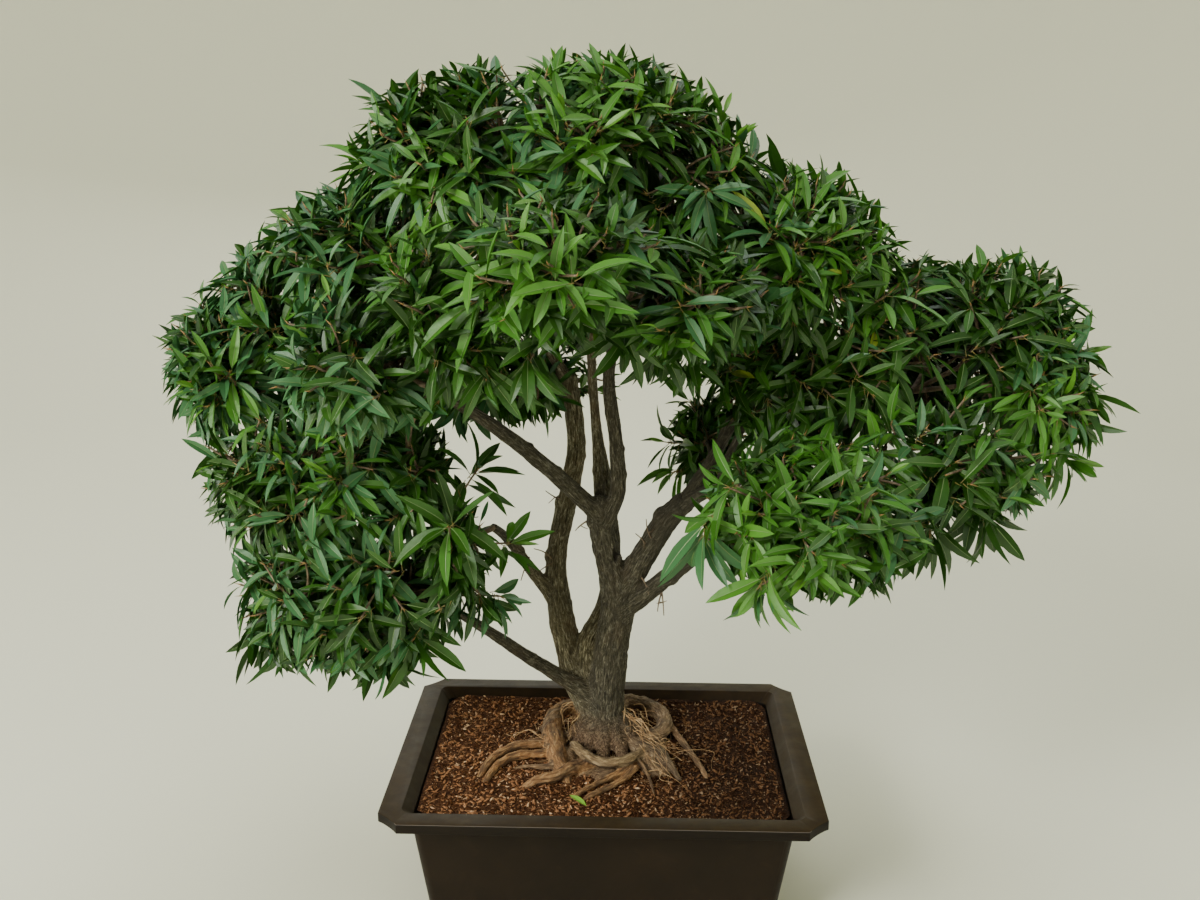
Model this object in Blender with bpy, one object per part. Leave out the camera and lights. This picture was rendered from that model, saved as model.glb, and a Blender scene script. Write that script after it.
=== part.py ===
"""Willow leaf fig bonsai in its plastic training pot.

Metres, +Z up. The origin is the middle of the pot's flat underside, +X runs along the pot's long
side, and the front of the tree faces -Y. Trunk, stems, boughs and surface roots are tapering
tubes, and every mass of foliage is a core with twigs and leaves that keep to their own space.
"""

import math
import random

import bmesh
import bpy
from mathutils import Vector
from mathutils.bvhtree import BVHTree

# Clearance that neighbouring solids keep
GAP = 0.0005

# Pot, measured over its rim
POT_LENGTH = 0.450
POT_DEPTH = 0.340
POT_HEIGHT = 0.160
POT_WALL = 0.003
POT_FLOOR = 0.005
RIM_WIDTH = 0.025
RIM_DROP = 0.010
RIM_PLATE = 0.0035
RIM_CORNER = 0.022
RIM_SCOOP = -0.10
RIM_EDGE = 0.0012
BODY_TOP_INSET = 0.0295
BODY_FOOT_INSET = 0.050
BODY_CORNER = 0.010
INNER_CORNER = 0.012
INNER_BOW = 0.20
CORNER_POINTS = 3
DRAIN_RADIUS = 0.006
DRAIN_SIDES = 8
DRAIN_SPREAD = (0.105, 0.060)

# Soil, filled to a finger's width under the rim
SOIL_TOP = 0.1495
WOOD_FLOOR = SOIL_TOP + GAP

# Wood
TRUNK_SIDES = 12
LIMB_STEPS = ((0.0190, 8), (0.0066, 6), (0.0036, 4))
RING_SPACING = 0.040
PROBE_SPACING = 0.006
TIP_ROUND = 0.45
TIP_SHRINK = 0.72
NEAR = 0.002
FLARE_HEIGHT = 0.045
FLARE_REACH = 0.30
FLARE_LOBES = 5
FLARE_DEPTH = 0.35

# Foliage
LEAF_LENGTH = 0.088
LEAF_WIDTH = 0.028
LEAF_THICKNESS = 0.0050
LEAF_WIDEST = 0.42
LEAF_STEP = 0.0050
LEAF_SPREAD = 0.12
LEAF_TRIMS = (1.0, 0.86, 0.74)
FULL_MASS = 0.095
LEAVES_PER_SPRAY = 4
SPRAY_AREA = 0.0138
SPRAY_TILT = math.radians(54)
SPRAY_DEPTH = 0.54
DROOP = 0.30
TWIG_RADIUS = 0.0042
TWIG_POINT = 0.016
TWIG_START = 0.4
STEM_RADIUS = 0.0036
STEM_TIP = 0.0028
STEM_SHARE = 0.72
STEM_BEND = 0.12
STEM_BEND_AT = 0.45
CORE_SIDES = 7
CORE_LEVELS = 4
CORE_DEPTH = 0.33
CORE_WALL = 0.005
CORE_SHARE = 0.88
CORE_CLEAR = 0.009
CORE_LUMPS = 0.2
CORE_LEAST = 0.016
LEAST_CORE = 0.30
OPEN_SHARE = 0.80
SPACE_MARGIN = 0.0012
LIMB_MARGIN = 0.0035
GOLDEN_ANGLE = math.pi * (3 - math.sqrt(5))

# Each limb's route from its foot to its tip, as (x, y, z, radius)
LIMBS = {
    "trunk": (
        (0.000, 0.040, WOOD_FLOOR, 0.0270),
        (0.001, 0.038, 0.185, 0.0235),
        (0.002, 0.034, 0.240, 0.0210),
        (0.008, 0.030, 0.285, 0.0195),
        (0.012, 0.026, 0.322, 0.0195),
        (0.006, 0.023, 0.354, 0.0158),
        (-0.004, 0.020, 0.390, 0.0133),
        (-0.009, 0.020, 0.425, 0.0142),
        (-0.011, 0.020, 0.440, 0.0125),
    ),
    "left_stem": (
        (-0.010, 0.046, 0.172, 0.0180),
        (-0.036, 0.060, 0.214, 0.0165),
        (-0.048, 0.068, 0.264, 0.0149),
        (-0.058, 0.076, 0.325, 0.0133),
        (-0.057, 0.080, 0.365, 0.0116),
        (-0.041, 0.090, 0.446, 0.0102),
        (-0.037, 0.095, 0.487, 0.0100),
        (-0.045, 0.103, 0.560, 0.0080),
    ),
    "back_stem": (
        (-0.004, 0.042, 0.225, 0.0130),
        (-0.012, 0.058, 0.270, 0.0122),
        (-0.003, 0.092, 0.340, 0.0109),
        (-0.004, 0.130, 0.407, 0.0099),
        (-0.014, 0.172, 0.480, 0.0078),
        (-0.020, 0.200, 0.535, 0.0062),
    ),
    "centre_stem": (
        (-0.007, 0.026, 0.412, 0.0078),
        (-0.011, 0.040, 0.458, 0.0070),
        (-0.013, 0.048, 0.500, 0.0070),
        (-0.023, 0.058, 0.573, 0.0060),
        (-0.024, 0.052, 0.690, 0.0045),
    ),
    "right_stem": (
        (-0.004, 0.016, 0.415, 0.0098),
        (0.009, 0.013, 0.452, 0.0092),
        (0.005, 0.008, 0.508, 0.0084),
        (-0.002, -0.006, 0.583, 0.0067),
        (0.016, -0.030, 0.655, 0.0045),
    ),
    "left_bough": (
        (-0.010, 0.018, 0.424, 0.0105),
        (-0.029, 0.006, 0.446, 0.0086),
        (-0.070, -0.025, 0.493, 0.0077),
        (-0.119, -0.065, 0.543, 0.0063),
        (-0.167, -0.100, 0.583, 0.0050),
    ),
    "left_side_bough": (
        (-0.054, 0.074, 0.310, 0.0108),
        (-0.069, 0.063, 0.334, 0.0090),
        (-0.082, 0.048, 0.354, 0.0077),
        (-0.088, 0.028, 0.379, 0.0066),
        (-0.103, -0.010, 0.415, 0.0052),
    ),
    "low_left_bough": (
        (-0.006, 0.040, 0.202, 0.0105),
        (-0.036, 0.033, 0.222, 0.0084),
        (-0.079, 0.000, 0.264, 0.0068),
        (-0.121, -0.032, 0.311, 0.0058),
        (-0.158, -0.050, 0.338, 0.0046),
    ),
    "right_bough": (
        (0.010, 0.024, 0.328, 0.0150),
        (0.031, 0.021, 0.356, 0.0131),
        (0.047, 0.020, 0.388, 0.0124),
        (0.067, 0.020, 0.420, 0.0118),
        (0.083, 0.020, 0.440, 0.0106),
    ),
    "right_upper_arm": (
        (0.078, 0.020, 0.432, 0.0084),
        (0.096, 0.022, 0.460, 0.0075),
        (0.113, 0.028, 0.487, 0.0069),
        (0.141, 0.038, 0.549, 0.0058),
        (0.160, 0.045, 0.622, 0.0044),
    ),
    "right_lower_arm": (
        (0.078, 0.018, 0.433, 0.0080),
        (0.106, 0.006, 0.455, 0.0064),
        (0.137, 0.000, 0.468, 0.0058),
        (0.215, 0.000, 0.513, 0.0052),
        (0.270, 0.020, 0.537, 0.0048),
        (0.320, 0.032, 0.560, 0.0042),
    ),
    "right_thin_bough": (
        (0.104, 0.008, 0.453, 0.0050),
        (0.116, 0.012, 0.460, 0.0043),
        (0.123, 0.018, 0.480, 0.0042),
        (0.140, 0.018, 0.518, 0.0040),
        (0.158, 0.014, 0.552, 0.0035),
    ),
    "right_back_bough": (
        (0.103, 0.025, 0.472, 0.0052),
        (0.112, 0.050, 0.482, 0.0046),
        (0.110, 0.088, 0.488, 0.0038),
    ),
    "low_right_bough": (
        (0.014, 0.024, 0.312, 0.0108),
        (0.034, 0.018, 0.326, 0.0098),
        (0.085, -0.012, 0.384, 0.0085),
        (0.115, -0.040, 0.414, 0.0074),
        (0.150, -0.074, 0.441, 0.0050),
    ),
    "left_outer_bough": (
        (-0.158, -0.094, 0.576, 0.0054),
        (-0.205, -0.068, 0.572, 0.0048),
        (-0.275, -0.030, 0.560, 0.0040),
    ),
    "left_shoulder_bough": (
        (-0.044, 0.103, 0.548, 0.0074),
        (-0.085, 0.090, 0.610, 0.0056),
        (-0.165, 0.050, 0.662, 0.0042),
    ),
}

# Roots that lie on the soil round the foot of the trunk
SURFACE_ROOTS = {
    "root_left_loop": (
        (-0.020, 0.072, 0.166, 0.0085),
        (-0.050, 0.074, 0.163, 0.0082),
        (-0.066, 0.048, 0.160, 0.0082),
        (-0.063, 0.016, 0.157, 0.0086),
        (-0.052, -0.016, 0.155, 0.0084),
        (-0.046, -0.042, 0.151, 0.0070),
    ),
    "root_front_loop": (
        (-0.034, 0.012, 0.166, 0.0050),
        (-0.027, -0.016, 0.163, 0.0054),
        (-0.010, -0.036, 0.161, 0.0058),
        (0.010, -0.040, 0.160, 0.0058),
        (0.028, -0.024, 0.161, 0.0056),
        (0.040, 0.004, 0.158, 0.0050),
    ),
    "root_right_ring": (
        (0.016, 0.066, 0.168, 0.0088),
        (0.040, 0.086, 0.165, 0.0086),
        (0.062, 0.082, 0.162, 0.0084),
        (0.074, 0.058, 0.160, 0.0080),
        (0.062, 0.032, 0.158, 0.0076),
        (0.036, 0.028, 0.157, 0.0072),
    ),
    "root_right_knob": (
        (0.016, 0.014, 0.160, 0.0100),
        (0.036, -0.006, 0.157, 0.0092),
        (0.054, -0.024, 0.155, 0.0080),
        (0.073, -0.038, 0.154, 0.0062),
    ),
    "root_front_left": (
        (-0.006, 0.012, 0.160, 0.0080),
        (-0.024, -0.040, 0.155, 0.0066),
        (-0.048, -0.056, 0.153, 0.0058),
        (-0.080, -0.065, 0.150, 0.0040),
    ),
    "root_left_upper": (
        (-0.058, 0.012, 0.156, 0.0062),
        (-0.084, 0.006, 0.154, 0.0056),
        (-0.108, -0.004, 0.152, 0.0050),
        (-0.133, -0.046, 0.149, 0.0038),
    ),
    "root_left_lower": (
        (-0.054, -0.012, 0.155, 0.0058),
        (-0.076, -0.018, 0.153, 0.0050),
        (-0.096, -0.026, 0.152, 0.0047),
        (-0.125, -0.058, 0.149, 0.0034),
    ),
    "root_front": (
        (0.012, 0.012, 0.158, 0.0085),
        (0.018, -0.040, 0.155, 0.0062),
        (0.000, -0.074, 0.152, 0.0052),
        (-0.030, -0.098, 0.149, 0.0034),
    ),
    "root_right_thin": (
        (0.070, 0.052, 0.155, 0.0050),
        (0.082, 0.038, 0.154, 0.0042),
        (0.096, 0.006, 0.152, 0.0038),
        (0.108, -0.040, 0.149, 0.0028),
    ),
    "root_back": (
        (-0.006, 0.060, 0.160, 0.0080),
        (-0.016, 0.092, 0.155, 0.0064),
        (-0.040, 0.112, 0.149, 0.0040),
    ),
}

# Each mass of foliage: centre, half sizes, and the limb whose tip carries it
MASSES = {
    "foliage_apex": ((-0.025, 0.000, 0.825), (0.150, 0.135, 0.085), "centre_stem"),
    "foliage_upper_left": ((-0.140, -0.020, 0.795), (0.125, 0.125, 0.100), "centre_stem"),
    "foliage_upper_right": ((0.085, 0.020, 0.765), (0.100, 0.120, 0.105), "right_stem"),
    "foliage_front": ((-0.040, -0.200, 0.700), (0.110, 0.115, 0.090), "right_stem"),
    "foliage_front_left": ((-0.150, -0.160, 0.660), (0.075, 0.100, 0.085), "left_bough"),
    "foliage_front_right": ((0.080, -0.140, 0.655), (0.085, 0.110, 0.080), "right_stem"),
    "foliage_under_centre": ((-0.075, 0.020, 0.570), (0.110, 0.090, 0.055), "left_stem"),
    "foliage_left_shoulder": ((-0.250, 0.000, 0.705), (0.110, 0.125, 0.085), "left_shoulder_bough"),
    "foliage_left_crown": ((-0.345, 0.020, 0.630), (0.090, 0.120, 0.105), "left_outer_bough"),
    "foliage_left_tip": ((-0.385, -0.020, 0.580), (0.085, 0.110, 0.105), "left_outer_bough"),
    "foliage_left_front": ((-0.225, -0.150, 0.615), (0.085, 0.105, 0.075), "left_bough"),
    "foliage_left_lower": ((-0.305, -0.050, 0.480), (0.115, 0.115, 0.095), "left_outer_bough"),
    "foliage_left_inner_upper": ((-0.180, -0.040, 0.490), (0.065, 0.090, 0.065), "left_bough"),
    "foliage_left_inner": ((-0.135, -0.090, 0.395), (0.055, 0.085, 0.090), "left_side_bough"),
    "foliage_left_bottom": ((-0.255, -0.060, 0.360), (0.150, 0.110, 0.105), "low_left_bough"),
    "foliage_right_shoulder": ((0.195, 0.000, 0.700), (0.115, 0.120, 0.105), "right_upper_arm"),
    "foliage_right_mid": ((0.235, 0.020, 0.600), (0.145, 0.120, 0.130), "right_thin_bough"),
    "foliage_far_right": ((0.400, 0.020, 0.610), (0.105, 0.110, 0.110), "right_lower_arm"),
    "foliage_right_tip": ((0.430, -0.020, 0.555), (0.080, 0.105, 0.110), "right_lower_arm"),
    "foliage_right_lower": ((0.335, -0.060, 0.490), (0.120, 0.110, 0.095), "low_right_bough"),
    "foliage_right_front": ((0.175, -0.160, 0.470), (0.140, 0.100, 0.095), "low_right_bough"),
    "foliage_right_hanging": ((0.155, -0.170, 0.435), (0.070, 0.070, 0.055), "low_right_bough"),
    "foliage_right_small": ((0.110, 0.130, 0.455), (0.060, 0.080, 0.075), "right_back_bough"),
    "foliage_back_top": ((-0.030, 0.160, 0.740), (0.180, 0.120, 0.125), "centre_stem"),
    "foliage_back_left": ((-0.230, 0.160, 0.650), (0.150, 0.120, 0.130), "left_shoulder_bough"),
    "foliage_back_right": ((0.180, 0.170, 0.675), (0.145, 0.120, 0.140), "right_upper_arm"),
    "foliage_back_far_right": ((0.345, 0.140, 0.585), (0.130, 0.100, 0.110), "right_lower_arm"),
    "foliage_back_low": ((-0.020, 0.270, 0.620), (0.160, 0.100, 0.110), "back_stem"),
    "foliage_back_left_low": ((-0.300, 0.110, 0.500), (0.110, 0.090, 0.100), "left_outer_bough"),
}

# Base colour (linear), roughness, metallic
FINISHES = {
    "pot_plastic": ((0.046, 0.036, 0.028), 0.55, 0.0),
    "soil": ((0.085, 0.036, 0.020), 0.95, 0.0),
    "bark": ((0.150, 0.110, 0.080), 0.85, 0.0),
    "root_bark": ((0.250, 0.150, 0.080), 0.80, 0.0),
    "leaf": ((0.035, 0.110, 0.022), 0.40, 0.0),
}


def clear_scene():
    for obj in list(bpy.data.objects):
        bpy.data.objects.remove(obj, do_unlink=True)


def make_material(name):
    colour, roughness, metallic = FINISHES[name]
    material = bpy.data.materials.new(name)
    material.use_nodes = True
    shader = material.node_tree.nodes["Principled BSDF"]
    shader.inputs["Base Color"].default_value = (*colour, 1.0)
    shader.inputs["Roughness"].default_value = roughness
    shader.inputs["Metallic"].default_value = metallic
    material.diffuse_color = (*colour, 1.0)
    return material


def add_object(name, points, faces, material=None):
    """A mesh object from points and faces, as triangles turned outwards."""
    mesh = bpy.data.meshes.new(name)
    mesh.from_pydata([tuple(point) for point in points], [], faces)
    shape = bmesh.new()
    shape.from_mesh(mesh)
    bmesh.ops.recalc_face_normals(shape, faces=shape.faces)
    bmesh.ops.triangulate(shape, faces=shape.faces)
    shape.to_mesh(mesh)
    shape.free()
    obj = bpy.data.objects.new(name, mesh)
    bpy.context.scene.collection.objects.link(obj)
    if material:
        mesh.materials.append(material)
    return obj


def remove_object(obj):
    mesh = obj.data
    bpy.data.objects.remove(obj, do_unlink=True)
    bpy.data.meshes.remove(mesh)


def combine(obj, operation, operand, solver="EXACT"):
    """Applies one Boolean, with an object or a whole collection as its operand, and removes the operand."""
    modifier = obj.modifiers.new("combine", "BOOLEAN")
    modifier.operation = operation
    modifier.solver = solver
    if isinstance(operand, bpy.types.Collection):
        modifier.operand_type = "COLLECTION"
        modifier.collection = operand
        used = list(operand.objects)
    else:
        modifier.object = operand
        used = [operand]
    graph = bpy.context.evaluated_depsgraph_get()
    made = bpy.data.meshes.new_from_object(obj.evaluated_get(graph))
    obj.modifiers.remove(modifier)
    shape = bmesh.new()
    shape.from_mesh(made)
    bmesh.ops.triangulate(shape, faces=shape.faces)
    shape.to_mesh(made)
    shape.free()
    old = obj.data
    obj.data = made
    bpy.data.meshes.remove(old)
    for helper in used:
        remove_object(helper)
    if isinstance(operand, bpy.types.Collection):
        bpy.data.collections.remove(operand)


def shells_of(shape):
    """The separate closed shells of a mesh, each as a set of faces."""
    left = set(shape.faces)
    shells = []
    while left:
        waiting = [left.pop()]
        shell = set(waiting)
        while waiting:
            face = waiting.pop()
            for edge in face.edges:
                for other in edge.link_faces:
                    if other in left:
                        left.remove(other)
                        shell.add(other)
                        waiting.append(other)
        shells.append(shell)
    return shells


def shell_volume(shell):
    total = 0.0
    for face in shell:
        corners = [vertex.co for vertex in face.verts]
        for second, third in zip(corners[1:], corners[2:]):
            total += corners[0].dot(second.cross(third)) / 6
    return total


def keep_main_shell(obj):
    """Drops loose scraps and fills sealed hollows: only the largest shell stays."""
    shape = bmesh.new()
    shape.from_mesh(obj.data)
    bmesh.ops.remove_doubles(shape, verts=shape.verts, dist=1e-6)
    bmesh.ops.dissolve_degenerate(shape, edges=shape.edges, dist=1e-6)
    shells = sorted(shells_of(shape), key=lambda shell: abs(shell_volume(shell)))
    scraps = [face for shell in shells[:-1] for face in shell]
    bmesh.ops.delete(shape, geom=scraps, context="FACES")
    bmesh.ops.triangulate(shape, faces=shape.faces)
    shape.to_mesh(obj.data)
    shape.free()


def shade(obj, angle=math.radians(40)):
    obj.data.shade_smooth()
    obj.data.set_sharp_from_angle(angle=angle)


# Pot and soil
def corner_ring(half_x, half_y, corner, bow, z):
    """One level of the pot: a rectangle whose corners are cut, and bowed outwards by a share of the cut."""
    points = []
    for quarter in range(4):
        sign_x = (1, -1, -1, 1)[quarter]
        sign_y = (1, 1, -1, -1)[quarter]
        for step in range(CORNER_POINTS):
            share = step / (CORNER_POINTS - 1)
            if quarter % 2:
                share = 1 - share
            along_x = half_x - corner * share
            along_y = half_y - corner * (1 - share)
            push = bow * corner * math.sin(math.pi * share)
            points.append(Vector((sign_x * (along_x + push), sign_y * (along_y + push), z)))
    return points


def loft(rings):
    """Points and faces of a closed skin through rings of equal count, with a cap at each end."""
    count = len(rings[0])
    points = [point for ring in rings for point in ring]
    faces = []
    for level in range(len(rings) - 1):
        for step in range(count):
            here = level * count + step
            after = level * count + (step + 1) % count
            faces.append((here, after, after + count, here + count))
    faces.append(tuple(range(count - 1, -1, -1)))
    last = (len(rings) - 1) * count
    faces.append(tuple(range(last, last + count)))
    return points, faces


def body_inset(z):
    """How far the pot's outer wall stands in from the rim at a height."""
    return BODY_FOOT_INSET + (BODY_TOP_INSET - BODY_FOOT_INSET) * z / POT_HEIGHT


def pot_level(inset, corner, bow, z):
    return corner_ring(POT_LENGTH / 2 - inset, POT_DEPTH / 2 - inset, corner, bow, z)


def make_pot(material):
    under_rim = POT_HEIGHT - RIM_PLATE
    skirt_foot = POT_HEIGHT - RIM_DROP
    shoulder = POT_HEIGHT - 2 * RIM_PLATE
    levels = (
        (body_inset(0), BODY_CORNER, 0.0, 0.0),
        (body_inset(under_rim), BODY_CORNER, 0.0, under_rim),
        (POT_WALL, RIM_CORNER, RIM_SCOOP, under_rim),
        (POT_WALL, RIM_CORNER, RIM_SCOOP, skirt_foot),
        (0.0, RIM_CORNER, RIM_SCOOP, skirt_foot),
        (0.0, RIM_CORNER, RIM_SCOOP, POT_HEIGHT - RIM_EDGE),
        (RIM_EDGE, RIM_CORNER, RIM_SCOOP, POT_HEIGHT),
        (RIM_WIDTH, INNER_CORNER, INNER_BOW, POT_HEIGHT),
        (body_inset(POT_HEIGHT) + 0.5 * POT_WALL, INNER_CORNER, INNER_BOW, POT_HEIGHT - RIM_PLATE / 2),
        (body_inset(shoulder) + POT_WALL, INNER_CORNER, INNER_BOW, shoulder),
        (body_inset(POT_FLOOR) + POT_WALL, INNER_CORNER, INNER_BOW, POT_FLOOR),
    )
    points, faces = loft([pot_level(*level) for level in levels])
    pot = add_object("pot", points, faces, material)
    for sign_x in (-1, 1):
        for sign_y in (-1, 1):
            place = Vector((sign_x * DRAIN_SPREAD[0], sign_y * DRAIN_SPREAD[1], 0))
            circle = [
                Vector((math.cos(angle), math.sin(angle), 0)) * DRAIN_RADIUS
                for angle in (math.tau * step / DRAIN_SIDES for step in range(DRAIN_SIDES))
            ]
            rings = [
                [place + point + Vector((0, 0, z)) for point in circle]
                for z in (-POT_FLOOR, 2 * POT_FLOOR)
            ]
            combine(pot, "DIFFERENCE", add_object("drain", *loft(rings)))
    shade(pot, math.radians(30))
    return pot


def make_soil(material):
    inset = POT_WALL + GAP
    levels = (
        (body_inset(POT_FLOOR) + inset, INNER_CORNER, INNER_BOW, POT_FLOOR + GAP),
        (body_inset(SOIL_TOP) + inset, INNER_CORNER, INNER_BOW, SOIL_TOP),
    )
    points, faces = loft([pot_level(*level) for level in levels])
    return add_object("soil", points, faces, material)


# Limbs and roots
def spline_point(before, start, end, after, share):
    """A point of the smooth curve through four (x, y, z, radius) values, between the middle two."""
    value = []
    for a, b, c, d in zip(before, start, end, after):
        slope_in = (c - a) / 2
        slope_out = (d - b) / 2
        square = share * share
        cube = square * share
        value.append(
            (2 * cube - 3 * square + 1) * b
            + (cube - 2 * square + share) * slope_in
            + (3 * square - 2 * cube) * c
            + (cube - square) * slope_out
        )
    return value


def smooth_route(route, spacing):
    """Points about a spacing apart on the smooth curve through the route."""
    extended = (route[0], *route, route[-1])
    found = [route[0]]
    for before, start, end, after in zip(extended, extended[1:], extended[2:], extended[3:]):
        length = (Vector(end[:3]) - Vector(start[:3])).length
        steps = max(1, round(length / spacing))
        for step in range(1, steps + 1):
            found.append(spline_point(before, start, end, after, step / steps))
    return [(Vector(value[:3]), value[3]) for value in found]


def tube(stations, sides, flare=None):
    """Rings of a tube along (centre, radius) stations, turned with the route and rounded at its end."""
    centres = [centre for centre, _ in stations]
    rings = []
    first = (centres[1] - centres[0]).normalized()
    across = first.cross(Vector((0, 1, 0))).normalized()
    for index, (centre, radius) in enumerate(stations):
        ahead = centres[min(index + 1, len(centres) - 1)] - centres[max(index - 1, 0)]
        along = ahead.normalized()
        if flare and index == 0:
            along = Vector((0, 0, 1))
        across = (across - along * across.dot(along)).normalized()
        beside = along.cross(across)
        ring = []
        for step in range(sides):
            angle = math.tau * step / sides
            size = radius * (flare(centre.z, angle) if flare else 1)
            ring.append(centre + size * (math.cos(angle) * across + math.sin(angle) * beside))
        rings.append(ring)
    end, radius = stations[-1]
    rings.append([end + along * radius * TIP_ROUND + (point - end) * TIP_SHRINK for point in rings[-1]])
    return rings


def root_flare(z, angle):
    """Widening of the trunk's foot into lobes that run out into the roots."""
    share = max(0.0, 1 - (z - WOOD_FLOOR) / FLARE_HEIGHT)
    lobes = 1 - FLARE_DEPTH + FLARE_DEPTH * math.cos(FLARE_LOBES * angle)
    return 1 + FLARE_REACH * share * share * lobes


def limb_shape(name, route, grow=0.0):
    """Points and faces of one limb, or of the same limb with a skin of clearance round it."""
    width = route[1][3]
    sides = TRUNK_SIDES
    for limit, count in LIMB_STEPS:
        if width < limit:
            sides = count
    stations = smooth_route(route, RING_SPACING)
    stations = [(centre, radius + grow) for centre, radius in stations]
    if grow:
        for end, inner in ((0, 1), (-1, -2)):
            spot, radius = stations[end]
            away = (spot - stations[inner][0]).normalized()
            stations[end] = (spot + away * grow, radius)
    flare = root_flare if name == "trunk" else None
    return loft(tube(stations, sides, flare))


def reach_box(stations):
    """Lowest and highest corners of the room that a limb takes."""
    low = [min(centre[axis] - radius for centre, radius in stations) for axis in range(3)]
    high = [max(centre[axis] + radius for centre, radius in stations) for axis in range(3)]
    return low, high


def boxes_meet(first, second):
    return all(
        first[0][axis] - NEAR < second[1][axis] and second[0][axis] - NEAR < first[1][axis]
        for axis in range(3)
    )


def box_of(obj):
    """Lowest and highest corners of an object."""
    spots = [vertex.co for vertex in obj.data.vertices]
    low = [min(spot[axis] for spot in spots) for axis in range(3)]
    high = [max(spot[axis] for spot in spots) for axis in range(3)]
    return low, high


def seat_against(obj, made):
    """Cuts a shape clear of each limb that stands already, wherever the two come near."""
    box = box_of(obj)
    for other, other_route in made.items():
        other_box = reach_box(smooth_route(other_route, RING_SPACING))
        if boxes_meet(box, other_box):
            combine(obj, "DIFFERENCE", add_object("cutter", *limb_shape(other, other_route, GAP)))
    keep_main_shell(obj)


def cut_level(obj):
    """Ends a root flat where it meets the soil."""
    slab = corner_ring(POT_LENGTH, POT_DEPTH, BODY_CORNER, 0.0, 0.0)
    top = [point + Vector((0, 0, WOOD_FLOOR)) for point in slab]
    combine(obj, "DIFFERENCE", add_object("slab", *loft([slab, top])))


def make_wood(bark, root_bark):
    """All limbs and surface roots, the thickest first. Returns the routes by name."""
    made = {}
    for name, route in {**LIMBS, **SURFACE_ROOTS}.items():
        is_root = name in SURFACE_ROOTS
        obj = add_object(name, *limb_shape(name, route), root_bark if is_root else bark)
        if is_root:
            cut_level(obj)
        seat_against(obj, made)
        shade(obj)
        made[name] = route
    return made


# Foliage
def radius_towards(half, direction):
    """How far an ellipsoid reaches from its centre in a direction."""
    return 1 / math.sqrt(sum((part / size) ** 2 for part, size in zip(direction, half)))


def walls_between(name):
    """The planes that part a mass from every other, each as a point and the way out of its space."""
    centre, half, _ = MASSES[name]
    centre = Vector(centre)
    walls = []
    for other, (other_centre, other_half, _) in MASSES.items():
        if other == name:
            continue
        way = Vector(other_centre) - centre
        direction = way.normalized()
        mine = radius_towards(half, direction)
        theirs = radius_towards(other_half, direction)
        share = way.length * mine / (mine + theirs)
        walls.append((centre + direction * (share - SPACE_MARGIN), direction))
    return walls


def in_space(point, centre, half, walls):
    offset = point - centre
    if sum((part / size) ** 2 for part, size in zip(offset, half)) > 1:
        return False
    return all((point - spot).dot(out) < 0 for spot, out in walls)


def limb_stations(routes):
    """Closely spaced (centre, radius) samples along each limb, by name."""
    return {name: smooth_route(route, PROBE_SPACING) for name, route in routes.items()}


def near_limb(points, obstacles, margin):
    for stations in obstacles.values():
        for centre, radius in stations:
            reach = (radius + margin) ** 2
            if any((point - centre).length_squared < reach for point in points):
                return True
    return False


def across_of(direction):
    side = direction.cross(Vector((0, 0, 1)))
    if side.length < 0.1:
        side = direction.cross(Vector((1, 0, 0)))
    return side.normalized()


def leaf_shape(root, direction, length, up):
    """Four points and four faces: a pointed blade over a straight keel, widest before its middle."""
    side = direction.cross(up).normalized()
    over = side.cross(direction).normalized()
    middle = root + direction * length * LEAF_WIDEST + over * LEAF_THICKNESS
    points = (
        root,
        middle - side * LEAF_WIDTH / 2,
        middle + side * LEAF_WIDTH / 2,
        root + direction * length,
    )
    return points, [(0, 2, 1), (3, 1, 2), (0, 1, 3), (0, 3, 2)]


def leaf_samples(points):
    """Spots along a leaf's keel and edges, for testing what it would touch."""
    root, left, right, tip = points
    spots = []
    for share in (0.2, 0.4, 0.6, 0.8, 1.0):
        spots += [root.lerp(left, share), root.lerp(tip, share), root.lerp(right, share)]
        spots += [left.lerp(tip, share), right.lerp(tip, share)]
    return spots


def open_reach(centre, half, walls, direction):
    """How far a mass's space runs in a direction, and what share of its ellipsoid's reach that is."""
    whole = radius_towards(half, direction)
    reach = whole
    for spot, out in walls:
        facing = direction.dot(out)
        if facing > 0:
            reach = min(reach, (spot - centre).dot(out) / facing)
    return reach, reach / whole


def free_reach(centre, direction, size, obstacles):
    """How much of a size runs free of limbs from a centre, measured inwards until it is clear."""
    while size > CORE_LEAST and near_limb([centre + direction * size], obstacles, CORE_CLEAR):
        size -= CORE_CLEAR
    return size


def core_shape(centre, half, walls, obstacles, leaf_length, rng):
    """A lumpy ball inside a mass, deep under its leaves and close to the walls that part it from others."""
    shape = bmesh.new()
    bmesh.ops.create_uvsphere(shape, u_segments=CORE_SIDES, v_segments=CORE_LEVELS, radius=1.0)
    points = []
    for vertex in shape.verts:
        direction = Vector(part * size for part, size in zip(vertex.co, half)).normalized()
        reach, share = open_reach(centre, half, walls, direction)
        depth = CORE_WALL
        if share > CORE_SHARE:
            depth = CORE_DEPTH * leaf_length * rng.uniform(1 - CORE_LUMPS, 1 + CORE_LUMPS)
        size = max(LEAST_CORE * reach, reach - depth)
        points.append(centre + direction * free_reach(centre, direction, size, obstacles))
    faces = [tuple(vertex.index for vertex in face.verts) for face in shape.faces]
    shape.free()
    return points, faces


def twig_shape(start, end):
    """A three-sided twig that runs to a point past the leaves at its end."""
    along = (end - start).normalized()
    side = across_of(along)
    beside = along.cross(side)
    base = [
        start + TWIG_RADIUS * (math.cos(angle) * side + math.sin(angle) * beside)
        for angle in (0, math.tau / 3, 2 * math.tau / 3)
    ]
    return [*base, end + along * TWIG_POINT], [(0, 2, 1), (0, 1, 3), (1, 2, 3), (2, 0, 3)]


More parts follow.
